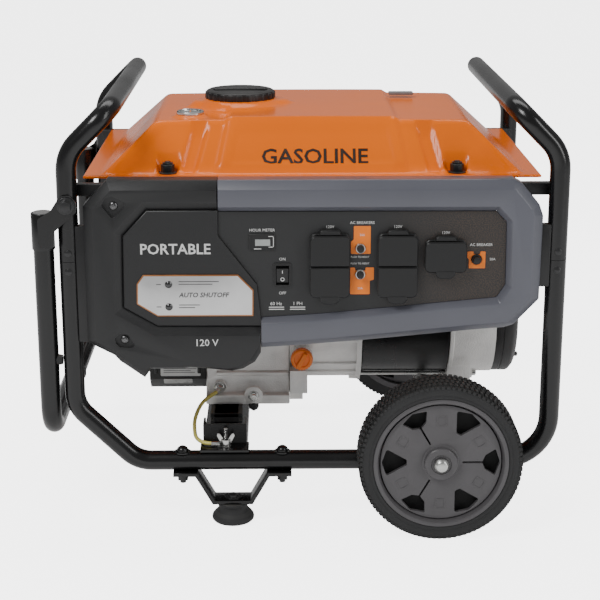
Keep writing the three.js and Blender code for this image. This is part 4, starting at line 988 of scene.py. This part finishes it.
marks = bmesh.new()
for x0, z0, x1, z1 in ((-56, 385, -49.5, 386), (-50.4, 371.5, -49.5, 386), (-56, 371.5, -49.5, 372.4),
                       (-74, 369.2, -65, 370.2)):
    block(marks, at(x0, face_y - 1.95, z0), at(x1, face_y - 1.8, z1))
for text, x, z, size in (
        ("HOUR METER", -64, 391.4, 5.2), ("ON", switch_x, 354.4, 5.2), ("OFF", switch_x, 310.6, 5.2),
        ("120V", 20, 395.4, 5.0), ("120V", 104, 395.4, 5.0), ("120V", 163.5, 387.4, 5.0),
        ("AC BREAKERS", 60, 400.6, 4.9), ("AC BREAKER", 208, 372.0, 4.9), ("PUSH TO RESET", 57.5, 357.4, 3.3),
        ("PUSH TO RESET", 57.5, 349.0, 3.3), ("20A", 222.5, 353.6, 4.4), ("20A", 60, 385.5, 4.0),
        ("20A", 58, 317, 4.0), ("60 Hz", -47, 296.6, 6.2), ("1 PH", -20, 296.6, 6.2)):
    ink_y = face_y - (0.85 if size == 4.0 else 0.14)
    merge_into(marks, lettering(text, size, lambda u, v: at(x + u, ink_y, z + v)))
for x in (-56, -29.5):
    for z in (293.4, 290.6):
        block(marks, at(x, face_y - 0.14, z), at(x + 19, face_y + 0.1, z + 1.1))
as_piece(marks, "panel_marks", white_ink)

dressed("rocker_switch", soft_black, 0.7, 2)
symbols = bmesh.new()
block(symbols, at(switch_x - 0.5, face_y - 4.3, switch_z + 3.4),
      at(switch_x + 0.5, face_y - 2.6, switch_z + 7.4))
ring_at = (switch_x, switch_z - 5)
faces = polygon_face(symbols, circle(2.5, 24, ring_at), [circle(1.7, 20, ring_at)], facing(face_y - 2.15))
thicken(symbols, faces, (0, 0.0012, 0))
as_piece(symbols, "switch_symbols", white_ink, "rocker_switch")

# Each breaker has a notched orange label, a plated nut and a black button.
labels = {
    "a": [(46, 362.5), (70.5, 362.5), (70.5, 398), (49.5, 398), (49.5, 381), (46, 378)],
    "b": [(45.5, 345), (45.5, 310.5), (70, 310.5), (70, 328), (75, 329.5), (75, 345), (64.5, 345), (64.5, 341),
          (51.5, 341), (51.5, 345)],
    "c": [(191, 365), (191, 357), (193, 355), (193, 343.5), (213.5, 343.5), (213.5, 365), (207, 365),
          (207, 361.5), (198.5, 361.5), (198.5, 365)],
}
for name, x, z in breakers:
    label = bmesh.new()
    shape = rounded(labels[name], 1.0, 2)
    stepped(label, [(shape, face_y + 0.5), (shape, face_y - 0.7)], [(circle(5.2, 28, (x, z)), 1.0)])
    as_piece(label, "breaker_label_" + name, signal_orange)
    nut = bmesh.new()
    turned(nut, [(4.95, 0), (7.0, 0), (6.8, 1.6), (5.9, 2.6), (4.95, 2.6), (4.95, 0)], at(x, face_y - 0.6, z),
           (0, -1, 0), 12)
    as_piece(nut, "breaker_nut_" + name, soft_black if name == "c" else bright_zinc)
    dressed("breaker_button_" + name, soft_black, 1.2, 3)

# A hinged cover hangs over each socket, with a pull tab on the lowest. The sockets behind carry flat
# black patches for two blade slots and a round earth hole, which paint the shade of the holes.
socket_grey = surface("socket_grey", (0.1, 0.1, 0.105), 0.4, cloud=(30.0, 0.1), grain=(900.0, 0.00005))
# Near-black paint for the shade inside the socket holes.
slot_painted_shade = surface("socket_hole_painted_shade", (0.004, 0.004, 0.004), 0.6, cloud=(30.0, 0.2))
cover_black = surface("cover_rubber", (0.0075, 0.0076, 0.008), 0.38, cloud=(24.0, 0.15),
                      grain=(1000.0, 0.00006), worn=(0.5, (0.09, 0.09, 0.09)), dusty=0.06)
for name, x, width, top, count in outlets:
    half, low = width / 2, top - count * 40
    back = bmesh.new()
    shape = square(x - half + 0.5, low + 1, x + half - 0.5, top + 1)
    stepped(back, [(rounded(shape, 7), face_y + 0.5), (rounded(shape, 7), face_y - 3.4),
                   (rounded(moved_in(shape, 1.2), 6), face_y - 4.6)])
    hinge = [(x - 14, top - 1), (x + 14, top - 1), (x + 12.5, top + 4.2), (x + 9.5, top + 6.2),
             (x - 9.5, top + 6.2), (x - 12.5, top + 4.2)]
    stepped(back, [(hinge, face_y + 0.5), (hinge, face_y - 6.4), (moved_in(hinge, 1.4), face_y - 8)])
    as_piece(back, "outlet_frame_" + name, cover_black)
    sockets, slots = bmesh.new(), bmesh.new()
    for i in range(count):
        z1 = top - i * 40 - 0.5
        z0, mid = z1 - 39, z1 - 19.5
        body = rounded(square(x - 17, mid - 13.5, x + 17, mid + 13.5), 6)
        stepped(sockets, [(body, face_y - 4), (body, face_y - 6.2), (moved_in(body, 0.8), face_y - 7)])
        # Flat black patches on the socket face paint the shade of the blade slots and the earth hole.
        block(slots, at(x - 7.6, face_y - 7.1, mid - 1), at(x - 5.6, face_y - 6.6, mid + 7))
        block(slots, at(x + 5.8, face_y - 7.1, mid - 2), at(x + 7.6, face_y - 6.6, mid + 7))
        rod(slots, at(x, face_y - 6.6, mid - 6.5), at(x, face_y - 7.1, mid - 6.5), 0.0024, 20)
        first, last = i == 0, i == count - 1
        lid = square(x - half, z0, x + half, z1)
        lid = [p for j, q in enumerate(lid) for p in
               rounded(lid, 6.5 if (j > 1 and first) or (j < 2 and last) else 1.6, 4)[5 * j:5 * j + 5]]
        cover = bmesh.new()
        stepped(cover, [(moved_in(lid, 0.3), -241.0), (lid, -241.6), (lid, -242.4),
                        (moved_in(lid, 1.5), -244.0)])
        if last:
            tab = rounded([(x - 12, z0 + 3), (x - 12, z0 - 3.5), (x - 7, z0 - 8), (x + 7, z0 - 8),
                           (x + 12, z0 - 3.5), (x + 12, z0 + 3)], 2)
            stepped(cover, [(tab, -241.0), (tab, -243.0), (moved_in(tab, 1.0), -244.0)])
        solid = "flap_single" if name == "c" else "flap_duplex_%s_%d" % (name, i + 1)
        as_piece(cover, solid + "_cover", cover_black, body_of(solid), [solid])
    as_piece(sockets, "sockets_" + name, socket_grey)
    as_piece(slots, "socket_hole_shades_" + name, slot_painted_shade)

# ---- engine block ----------------------------------------------------------------------------------
# The crankcase, the barrel and the head are sand cast aluminium, bead blasted and left bare. The
# barrel lies back, finned all round, with a spark plug on its upper side.
cast = surface("cast_aluminium", (0.8, 0.79, 0.77), 0.4, 0.3, cloud=(16.0, 0.22), grain=(500.0, 0.00022),
               swing=0.1, worn=(0.5, (0.75, 0.75, 0.73)), dusty=0.12)
machined = surface("machined_aluminium", (0.6, 0.6, 0.59), 0.32, 0.7, cloud=(30.0, 0.15), swing=0.1)
shaft_z, case_left, case_right, pan_z = 225.0, -143.0, -29.0, 120.0


def hex_bolt(bm, place, way, size, washer=True):
    """A flanged hexagon head, its foot at the place and its head the way it faces."""
    way = Vector(way).normalized()
    if washer:
        turned(bm, [(0, 0), (size * 1.15, 0), (size * 1.15, 0.9), (size * 0.95, 1.6), (0, 1.6)], place, way, 24)
    rod(bm, place + way * 0.0008, place + way * (0.0012 + size * 0.0009), size / 1000, 6)
    rod(bm, place + way * (0.001 + size * 0.0009), place + way * (0.0014 + size * 0.0011), size * 0.00082, 24,
        size * 0.0006)


def bolt_set(name, bolts, finish=bright_zinc, washer=True):
    """One piece of like bolts, from (place, way, size) of each."""
    bm = bmesh.new()
    for place, way, size in bolts:
        hex_bolt(bm, place, way, size, washer)
    as_piece(bm, name, finish)


def spots_round(radius, angles):
    """The (y, z) of points round the shaft."""
    return [(radius * math.cos(math.radians(a)), shaft_z + radius * math.sin(math.radians(a))) for a in angles]


def side_on(x, z=0.0):
    """Takes (y, z) outlines to a plane across the shaft, from a height."""
    return Matrix.Translation(at(x, 0, z)) @ Matrix(((0, 0, 1, 0), (1, 0, 0, 0), (0, 1, 0, 0), (0, 0, 0, 1)))


def case_detail(bm):
    ridge = bmesh.new()
    for z, y, r in ((158.5, -89.5, 3.4), (205, -87.6, 1.6)):
        rod(ridge, at(case_left + 14, y, z), at(case_right - 1.2, y, z), r / 1000, 20)
    block(ridge, at(case_left + 1, -108.8, pan_z + 8.4), at(case_right - 0.8, -94, pan_z + 13))
    break_edges(ridge, 0.7, 2, 40)
    turned(ridge, [(0, 0), (13, 0), (12.2, 4), (10.5, 5.2), (0, 5.4)], at(-78, -107.6, pan_z + 14), (0, -1, 0),
           32)
    turned(ridge, [(0, 0), (9, 0), (8.2, 4.6), (0, 5)], at(-124, -91, 141), (0, -1, 0), 24)
    merge_into(bm, ridge)


case = bmesh.new()
outline = [(-108, 120), (100, 120), (100, 132), (88, 132), (88, 270), (60, 302), (-45, 302), (-88, 262),
           (-88, 150), (-96, 132), (-108, 132)]
faces = polygon_face(case, outline, [], side_on(case_left))
thicken(case, faces, ((case_right - case_left) / 1000, 0, 0))
made_whole(case)
break_edges(case, 2.2, 4)
case_detail(case)
as_piece(case, "crankcase_casting", cast, stands_for=["crankcase"])
bolt_set("case_bolts", [
    *((at(case_right - 8, y, z), (0, 0 if abs(y) < 60 else y, z - shaft_z), 4.0)
      for y, z in ((-80, 190), (-70, 262), (-30, 296), (40, 296), (76, 262))),
    (at(-78, -113, pan_z + 14), (0, -1, 0), 6.4), (at(-124, -95.8, 141), (0, -1, 0), 5.2)])
bolt_set("drain_plug", [(at(-78, -106, pan_z - 2), (0, -1, 0), 6.0)], rivet_steel)


def leaned(x, y, z):
    """A point beside the barrel, whose axis lies back 25 degrees above level."""
    c, s = math.cos(math.radians(-65)), math.sin(math.radians(-65))
    return at(x, y * c - z * s, y * s + z * c + shaft_z)


barrel_x = (case_left + case_right) / 2
head_studs = ((-32, -28), (32, -28), (-32, 28), (32, 28))


def barrel_detail(bm):
    for dx, dy in head_studs:
        rod(bm, leaned(barrel_x + dx, dy, 160), leaned(barrel_x + dx, dy, 177), 0.0062, 20)


dressed("cylinder", cast, 0.7, 2, barrel_detail)
bolt_set("rocker_cover_bolts", [(leaned(barrel_x + dx, dy, 177), leaned(0, 0, 1) - leaned(0, 0, 0), 4.2)
                                for dx, dy in head_studs])
plug_foot, plug_way = leaned(barrel_x, -41, 147), (leaned(0, -1, 0) - leaned(0, 0, 0)).normalized()
plug = bmesh.new()
turned(plug, [(0, 0), (9.6, 0), (9.6, 2), (0, 2)], plug_foot, plug_way, 24)
rod(plug, plug_foot + plug_way * 0.002, plug_foot + plug_way * 0.011, 0.0092, 6)
as_piece(plug, "spark_plug", bright_zinc)
boot = bmesh.new()
turned(boot, [(0, 9), (8.2, 9), (8.6, 11), (8.0, 13), (8.6, 15), (8.0, 17), (8.6, 19), (8.0, 21), (8.2, 30),
              (7, 34), (0, 35)], plug_foot, plug_way, 32)
boot_top = plug_foot + plug_way * 0.029
bent_tube(boot, [boot_top, boot_top + Vector((-0.024, 0, 0.004)), at(case_left - 2, 92, 318),
                 at(case_left - 20, 78, 300)], (0.012, 0.016), 0.0036, 16)
as_piece(boot, "spark_plug_boot", soft_black)

# ---- fan shroud, starter and flywheel ---------------------------------------------------------------
# A pressed and painted shroud wraps the flywheel fan, with plain data plates on its front. The
# recoil starter is a slotted dish on its left, with a moulded grip on a cord.
shroud_black = surface("shroud_enamel", (0.01, 0.01, 0.0105), 0.36, cloud=(12.0, 0.2), grain=(700.0, 0.00006),
                       worn=(0.4, (0.12, 0.12, 0.12)), dusty=0.1)
shroud_left, shroud_right = -220.0, -143.3


def shroud_detail(bm):
    ridge = bmesh.new()
    for x in (shroud_left + 9, shroud_right - 9):
        for way in (-1, 1):
            low, high = sorted((way * 90, way * 92.4))
            rib = block(ridge, at(x - 2.5, low, shaft_z - 66), at(x + 2.5, high, shaft_z + 66))
            break_edges(ridge, 0.9, 2, 40, edges_of(rib))
    merge_into(bm, ridge)


dressed("fan_shroud", shroud_black, 4.5, 4, shroud_detail)
paper = surface("data_plate", (0.5, 0.5, 0.49), 0.4, cloud=(30.0, 0.12), Coat_Weight=0.5)
foil_plate = surface("foil_plate", (0.34, 0.34, 0.33), 0.3, 0.6, cloud=(40.0, 0.4), swing=0.12)
upper_shape = rounded(square(-205, 155.5, -150.5, 169), 1.5)
plates = bmesh.new()
stepped(plates, [(upper_shape, -90.5), (upper_shape, -91.4)])
as_piece(plates, "data_plate_upper", paper)
lower_shape = rounded(square(-201, 139.5, -162, 153), 1.5)
plates = bmesh.new()
stepped(plates, [(lower_shape, -0.6), (lower_shape, -1.2)])
bmesh.ops.rotate(plates, verts=plates.verts, cent=at(0, 0, 151),
                 matrix=Matrix.Rotation(math.radians(45), 3, "X"))
bmesh.ops.translate(plates, verts=plates.verts, vec=(0, -0.0905, 0))
as_piece(plates, "data_plate_lower", foil_plate)
lines = bmesh.new()
for z, x1 in ((165.6, -156), (163, -164), (160.4, -158)):
    block(lines, at(-201, -91.5, z), at(x1, -91.35, z + 0.8))
as_piece(lines, "data_plate_rules", print_grey)

dish_right, cord_x, cord_z = shroud_left - 0.3, -234.3, 185.0
dish = bmesh.new()
vents, vent_count = [], 16
for i in range(vent_count):
    a = math.tau * i / vent_count
    vents.append([(u * math.cos(a) - v * math.sin(a), u * math.sin(a) + v * math.cos(a))
                  for u, v in rounded([(20, -2.4), (47, -4.2), (47, 4.2), (20, 2.4)], 1.8)])
faces = polygon_face(dish, circle(53, 64), vents, side_on(dish_right - 29.6, shaft_z))
thicken(dish, faces, (0.0026, 0, 0))
turned(dish, [(52.8, -27.2), (58, -24), (66, -8), (70, 0), (80, 0), (80, -5.4), (74, -7), (68, -14), (62, -24),
              (58.5, -28.4), (54, -30), (52.8, -30), (52.8, -27.2)], at(dish_right, 0, shaft_z), (1, 0, 0), 64)
turned(dish, [(0, -30), (15, -30), (14, -31.6), (0, -31.6)], at(dish_right + 1.8, 0, shaft_z), (1, 0, 0), 48)
spout = bmesh.new()
rod(spout, at(cord_x, 58, cord_z), at(cord_x, 75, cord_z), 0.0085, 28)
break_edges(spout, 1.2, 2)
merge_into(dish, spout)
as_piece(dish, "starter_dish", shroud_black, stands_for=["recoil_cover"])
bolt_set("starter_bolts", [(at(dish_right - 5.2, y, z), (-1, 0, 0), 3.6)
                           for y, z in spots_round(75.5, range(30, 360, 60))])
dressed("recoil_grip", soft_black, 4.0, 5)
rope_white = surface("braided_cord", (0.55, 0.54, 0.5), 0.75, cloud=(900.0, 0.35), grain=(1600.0, 0.0003))
rope = bmesh.new()
bent_tube(rope, [at(cord_x, y, cord_z) for y in (66, 72, 78, 86)], (0.001, 0.001), 0.0022, 14)
bmesh.ops.recalc_face_normals(rope, faces=rope.faces)
rope_mesh = bpy.data.meshes.new("starter_cord")
rope.to_mesh(rope_mesh)
rope.free()
rope_mesh.shade_smooth()
rope_mesh.materials.append(rope_white)
cord = in_scene("starter_cord", rope_mesh)
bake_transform(cord)
dressed("flywheel", cast, 1.0)
dressed("crankshaft", machined, 0.8)

# ---- alternator --------------------------------------------------------------------------------------
# A cast adapter bolts the alternator to the crankcase. The wound stator is wrapped in black sheet
# and held by through bolts to the rear housing; a ribbed black bell covers the fan.
stator_left, stator_right, housing_right, adapter_r = 70.0, 190.0, 252.5, 96.0
tie_spots = spots_round(92.5, (65, 115, 245, 295))
core_black = surface("stator_wrap", (0.005, 0.005, 0.0055), 0.3, cloud=(10.0, 0.25), swing=0.08, dusty=0.02)


def adapter_detail(bm):
    more = bmesh.new()
    for x0, x1 in ((case_right + 0.5, case_right + 7), (stator_left - 8, stator_left - 0.5)):
        turned(more, [(93, x0), (97.4, x0), (98.2, x0 + 0.8), (98.2, x1 - 0.8), (97.4, x1), (93, x1), (93, x0)],
               at(0, 0, shaft_z), (1, 0, 0), 72)
    for z in (152, 168, 206, 224):
        reach = math.sqrt((adapter_r + 0.5) ** 2 - (shaft_z - z) ** 2)
        rod(more, at(case_right + 5, -reach, z), at(stator_left - 6, -reach, z), 0.0022, 14)
    turned(more, [(13.4, -28), (16.2, -28), (15.2, -12), (14.2, -0.2), (13.4, -0.2), (13.4, -28)],
           at(-12.7, -100, 184.3), (0, -1, 0), 40)
    for y, z in tie_spots:
        rod(more, at(stator_left - 16, y, z), at(stator_left - 0.6, y, z), 0.0075, 24, 0.0085)
    merge_into(bm, more)


dressed("engine_adapter", cast, 1.8, 3, adapter_detail)
wrap = bmesh.new()
turned(wrap, [(60, stator_left), (88.2, stator_left), (90, stator_left + 1.6), (89.5, stator_left + 4.5),
              (89.6, stator_right - 4.5), (90, stator_right - 1.6), (88.2, stator_right), (60, stator_right),
              (60, stator_left)], at(0, 0, shaft_z), (1, 0, 0), 96)
as_piece(wrap, "stator_wrap", core_black, stands_for=["stator"])
ties = bmesh.new()
for y, z in tie_spots:
    rod(ties, at(stator_left - 2, y, z), at(stator_right + 6, y, z), 0.0027, 14)
    hex_bolt(ties, at(housing_right - 26, y, z), (1, 0, 0), 4.4)
as_piece(ties, "through_bolts", bright_zinc)


def housing_detail(bm):
    more = bmesh.new()
    for y, z in tie_spots:
        rod(more, at(stator_right + 0.6, y, z), at(housing_right - 26, y, z), 0.0085, 24, 0.0075)
    turned(more, [(86, stator_right + 0.5), (91.4, stator_right + 0.5), (92, stator_right + 1.2),
                  (92, stator_right + 5), (91.4, stator_right + 5.6), (86, stator_right + 5.6),
                  (86, stator_right + 0.5)], at(0, 0, shaft_z), (1, 0, 0), 72)
    for y in (-52, 52):
        ear = block(more, at(190, y - 8, 125.3), at(222, y + 8, 140))
        break_edges(more, 2.4, 3, 40, edges_of(ear))
    merge_into(bm, more)


dressed("rear_housing", cast, 1.8, 3, housing_detail)
dressed("rotor", core_black, 1.0)
bell = bmesh.new()
bell_left, bell_bars = housing_right + 0.3, 36
turned(bell, [(0, 0), (88.2, 0), (88.5, 1), (88.5, 9), (87.6, 9.6), (87.6, 11), (88.5, 11.6), (88.5, 21.5),
              (87.4, 24), (82, 28.6), (77, 30.6), (30, 30.7), (28, 29.4), (12, 29.4), (10, 30.7), (0, 30.7)],
       at(bell_left, 0, shaft_z), (1, 0, 0), 96)
bars = bmesh.new()
block(bars, at(bell_left + 29.6, -1.6, shaft_z + 34), at(bell_left + 31, 1.6, shaft_z + 70))
break_edges(bars, 0.5, 2)
repeated(bars, at(0, 0, shaft_z), (1, 0, 0), bell_bars)
merge_into(bell, bars)
as_piece(bell, "end_bell_ribbed", soft_black, stands_for=["end_bell"])
bolt_set("end_bell_screws", [(at(bell_left + 29.8, y, z), (1, 0, 0), 3.4)
                             for y, z in spots_round(74, (45, 135, 225, 315))], screw_black, washer=False)

# The oil filler cap: an orange ribbed knob with a grip bar.
oil = bmesh.new()
oil_at, knurl_count = at(-12.7, -100.3, 184.3), 24
turned(oil, [(0, 0), (13.4, 0), (13.4, 2.4), (14.3, 3.2), (14.3, 10.6), (13, 12), (10.5, 12), (9.6, 10.8),
             (0, 10.8)],
       oil_at, (0, -1, 0), 48)
knurl = bmesh.new()
block(knurl, oil_at + Vector((-0.0011, -0.0102, 0.0138)), oil_at + Vector((0.0011, -0.0036, 0.015)))
repeated(knurl, oil_at, (0, 1, 0), knurl_count)
merge_into(oil, knurl)
grip_bar = block(oil, oil_at + Vector((-0.003, -0.0178, -0.0115)), oil_at + Vector((0.003, -0.0098, 0.0115)))
bmesh.ops.rotate(oil, verts=grip_bar, cent=oil_at, matrix=Matrix.Rotation(math.radians(28), 3, "Y"))
break_edges(oil, 1.2, 3, 40, edges_of(grip_bar))
as_piece(oil, "oil_cap_knob", signal_orange, "oil_cap", ["oil_cap"])

# Rubber blocks stand between the channels and the castings.
engine_rail_x = -114.5
mounts = bmesh.new()
for side in (-1, 1):
    for half, z0, z1 in ((17.4, 97.2, 119.6), (21.6, 97.2, 109), (21.6, 112.6, 119.6)):
        pad = block(mounts, at(engine_rail_x - half, side * 120 - 22, z0),
                    at(engine_rail_x + half, side * 120 + 22, z1))
        break_edges(mounts, 1.6, 2, 30, edges_of(pad))
block(mounts, at(engine_rail_x - 17, -110, 97.1), at(engine_rail_x + 17, 110, 102.6))
as_piece(mounts, "isolator_engine_pads", foot_rubber, stands_for=["isolator_engine"])
dressed("isolator_alternator", foot_rubber, 2.0, 3)

# ---- intake and exhaust ------------------------------------------------------------------------------
# The carburettor hangs between the head and a clipped black air box. The muffler is rolled steel
# in heat proof black, behind a slotted guard, with its tail pipe facing back.
intake_z, carb_y, clip_spots = 292.0, 130.0, (-247, -195)


def carb_detail(bm):
    turned(bm, [(0, 0), (13, 0), (15.6, 2), (16, 5), (16, 16), (14, 20), (0, 20)],
           at(-161, carb_y, intake_z - 39), (0, 0, 1), 36)
    for dy in (-14, 14):
        hex_bolt(bm, at(-176.2, carb_y + dy, intake_z), (-1, 0, 0), 3.4)


dressed("carburettor", machined, 2.2, 3, carb_detail)
dressed("choke_lever", soft_black, 1.0, 3)


def air_box_detail(bm):
    more = bmesh.new()
    for z in (276, 290, 304, 318, 332):
        block(more, at(-250, 182, z - 2), at(-192, 185.6, z + 2))
    break_edges(more, 0.9, 2)
    for x in clip_spots:
        block(more, at(x - 6, 168, 342), at(x + 6, 181, 346.5))
    break_edges(more, 0.7, 2, 60)
    merge_into(bm, more)


dressed("air_cleaner", soft_black, 4.0, 4, air_box_detail)
wires = bmesh.new()
for x in clip_spots:
    for dx in (-4, 4):
        bent_tube(wires, [at(x + dx, 170, 347.2), at(x + dx, 186.8, 347.2), at(x + dx, 186.8, 337)], (0.003,),
                  0.0011, 10)
    rod(wires, at(x - 5, 186.8, 337), at(x + 5, 186.8, 337), 0.0011, 10)
as_piece(wires, "air_box_clips", bright_zinc)

heat_black = surface("heat_proof_black", (0.03, 0.028, 0.027), 0.6, 0.4, cloud=(22.0, 0.4),
                     grain=(600.0, 0.0001), worn=(0.6, (0.16, 0.1, 0.07)), dusty=0.15)
dressed("muffler", heat_black, 5.0, 4)
guard = bmesh.new()
slots = [rounded(square(x, z, x + 13, z + 5), 2.4, 3) for x in range(38, 154, 21) for z in (331, 343, 355, 367)]
faces = polygon_face(guard, rounded(square(22, 320, 188, 380), 8), slots, facing(184))
thicken(guard, faces, (0, 0.0015, 0))
guard_posts = [(x, z) for x in (28, 150) for z in (326, 374)]
for x, z in guard_posts:
    rod(guard, at(x, 176, z), at(x, 184.4, z), 0.004, 16)
as_piece(guard, "muffler_guard", heat_black)
bolt_set("muffler_guard_bolts", [(at(x, 185.4, z), (0, 1, 0), 3.6) for x, z in guard_posts])

# The fuel hose drops from the valve under the tank to the carburettor.
hose = bmesh.new()
bent_tube(hose, [at(-214, -60, 397), at(-214, -60, 384), at(-205, 60, 372), at(-168, 128, 330),
                 at(-166, 130, 309)],
          (0.010, 0.03, 0.012), 0.0042, 16)
rod(hose, at(-214, -60, 404), at(-214, -60, 388), 0.0085, 24)
as_piece(hose, "fuel_hose", soft_black)

# ---- earth lead ----------------------------------------------------------------------------------------
# A yellow lead with crimped ring ends joins the crankcase to a stud on the frame, so that the
# frame can be earthed. A plated wing nut holds it.
jacket = surface("yellow_jacket", (0.62, 0.56, 0.14), 0.35, cloud=(26.0, 0.15), grain=(900.0, 0.00003),
                 dusty=0.1, Coat_Weight=0.2)
lead_points = [(-124, -99, 140), (-128, -105, 137), (-139, -116, 134), (-149, -132, 129), (-154, -150, 122),
               (-156, -166, 117), (-155, -182, 111), (-153, -196, 107), (-147, -206, 105), (-138, -211, 104),
               (-129, -212, 104), (-122, -212, 104)]
route = bpy.data.curves.new("earth_route", "CURVE")
route.dimensions = "3D"
route.bevel_depth = 0.0026
route.bevel_resolution = 4
route.resolution_u = 6
route.use_fill_caps = True
spline = route.splines.new("NURBS")
spline.points.add(len(lead_points) - 1)
for point, place in zip(spline.points, lead_points):
    point.co = (*at(*place), 1)
spline.use_endpoint_u = True
spline.order_u = 3
as_piece(filled_out("earth_route", route), "earth_lead_jacket", jacket,
         stands_for=["earth_lead"])
stud_x, stud_y = -113, -212
lugs = bmesh.new()
turned(lugs, [(3.3, 0), (7, 0), (7, 1.5), (3.3, 1.5), (3.3, 0)], at(stud_x, stud_y, 100.5), (0, 0, 1), 32)
block(lugs, at(-124, -215.4, 100.4), at(-118, -208.6, 101.8))
rod(lugs, at(-132, -212, 104), at(-121, -212, 103.6), 0.0034, 20)
turned(lugs, [(4.8, 0), (8, 0), (8, 1.2), (4.8, 1.2), (4.8, 0)], at(-124, -95.6, 141), (0, -1, 0), 32)
rod(lugs, at(-124, -96, 141), at(-129.0, -106, 136.6), 0.0033, 20)
as_piece(lugs, "earth_lugs", bright_zinc)
dressed("wing_nut", bright_zinc, 0.7, 3)
stud = bmesh.new()
rod(stud, at(stud_x, stud_y, 99), at(stud_x, stud_y, 124.4), 0.0028, 20)
for thread in range(8):
    turned(stud, [(2.6, 0), (3.05, 0.6), (2.6, 1.2)], at(stud_x, stud_y, 111 + thread * 1.5), (0, 0, 1), 20)
as_piece(stud, "earth_stud", bright_zinc)
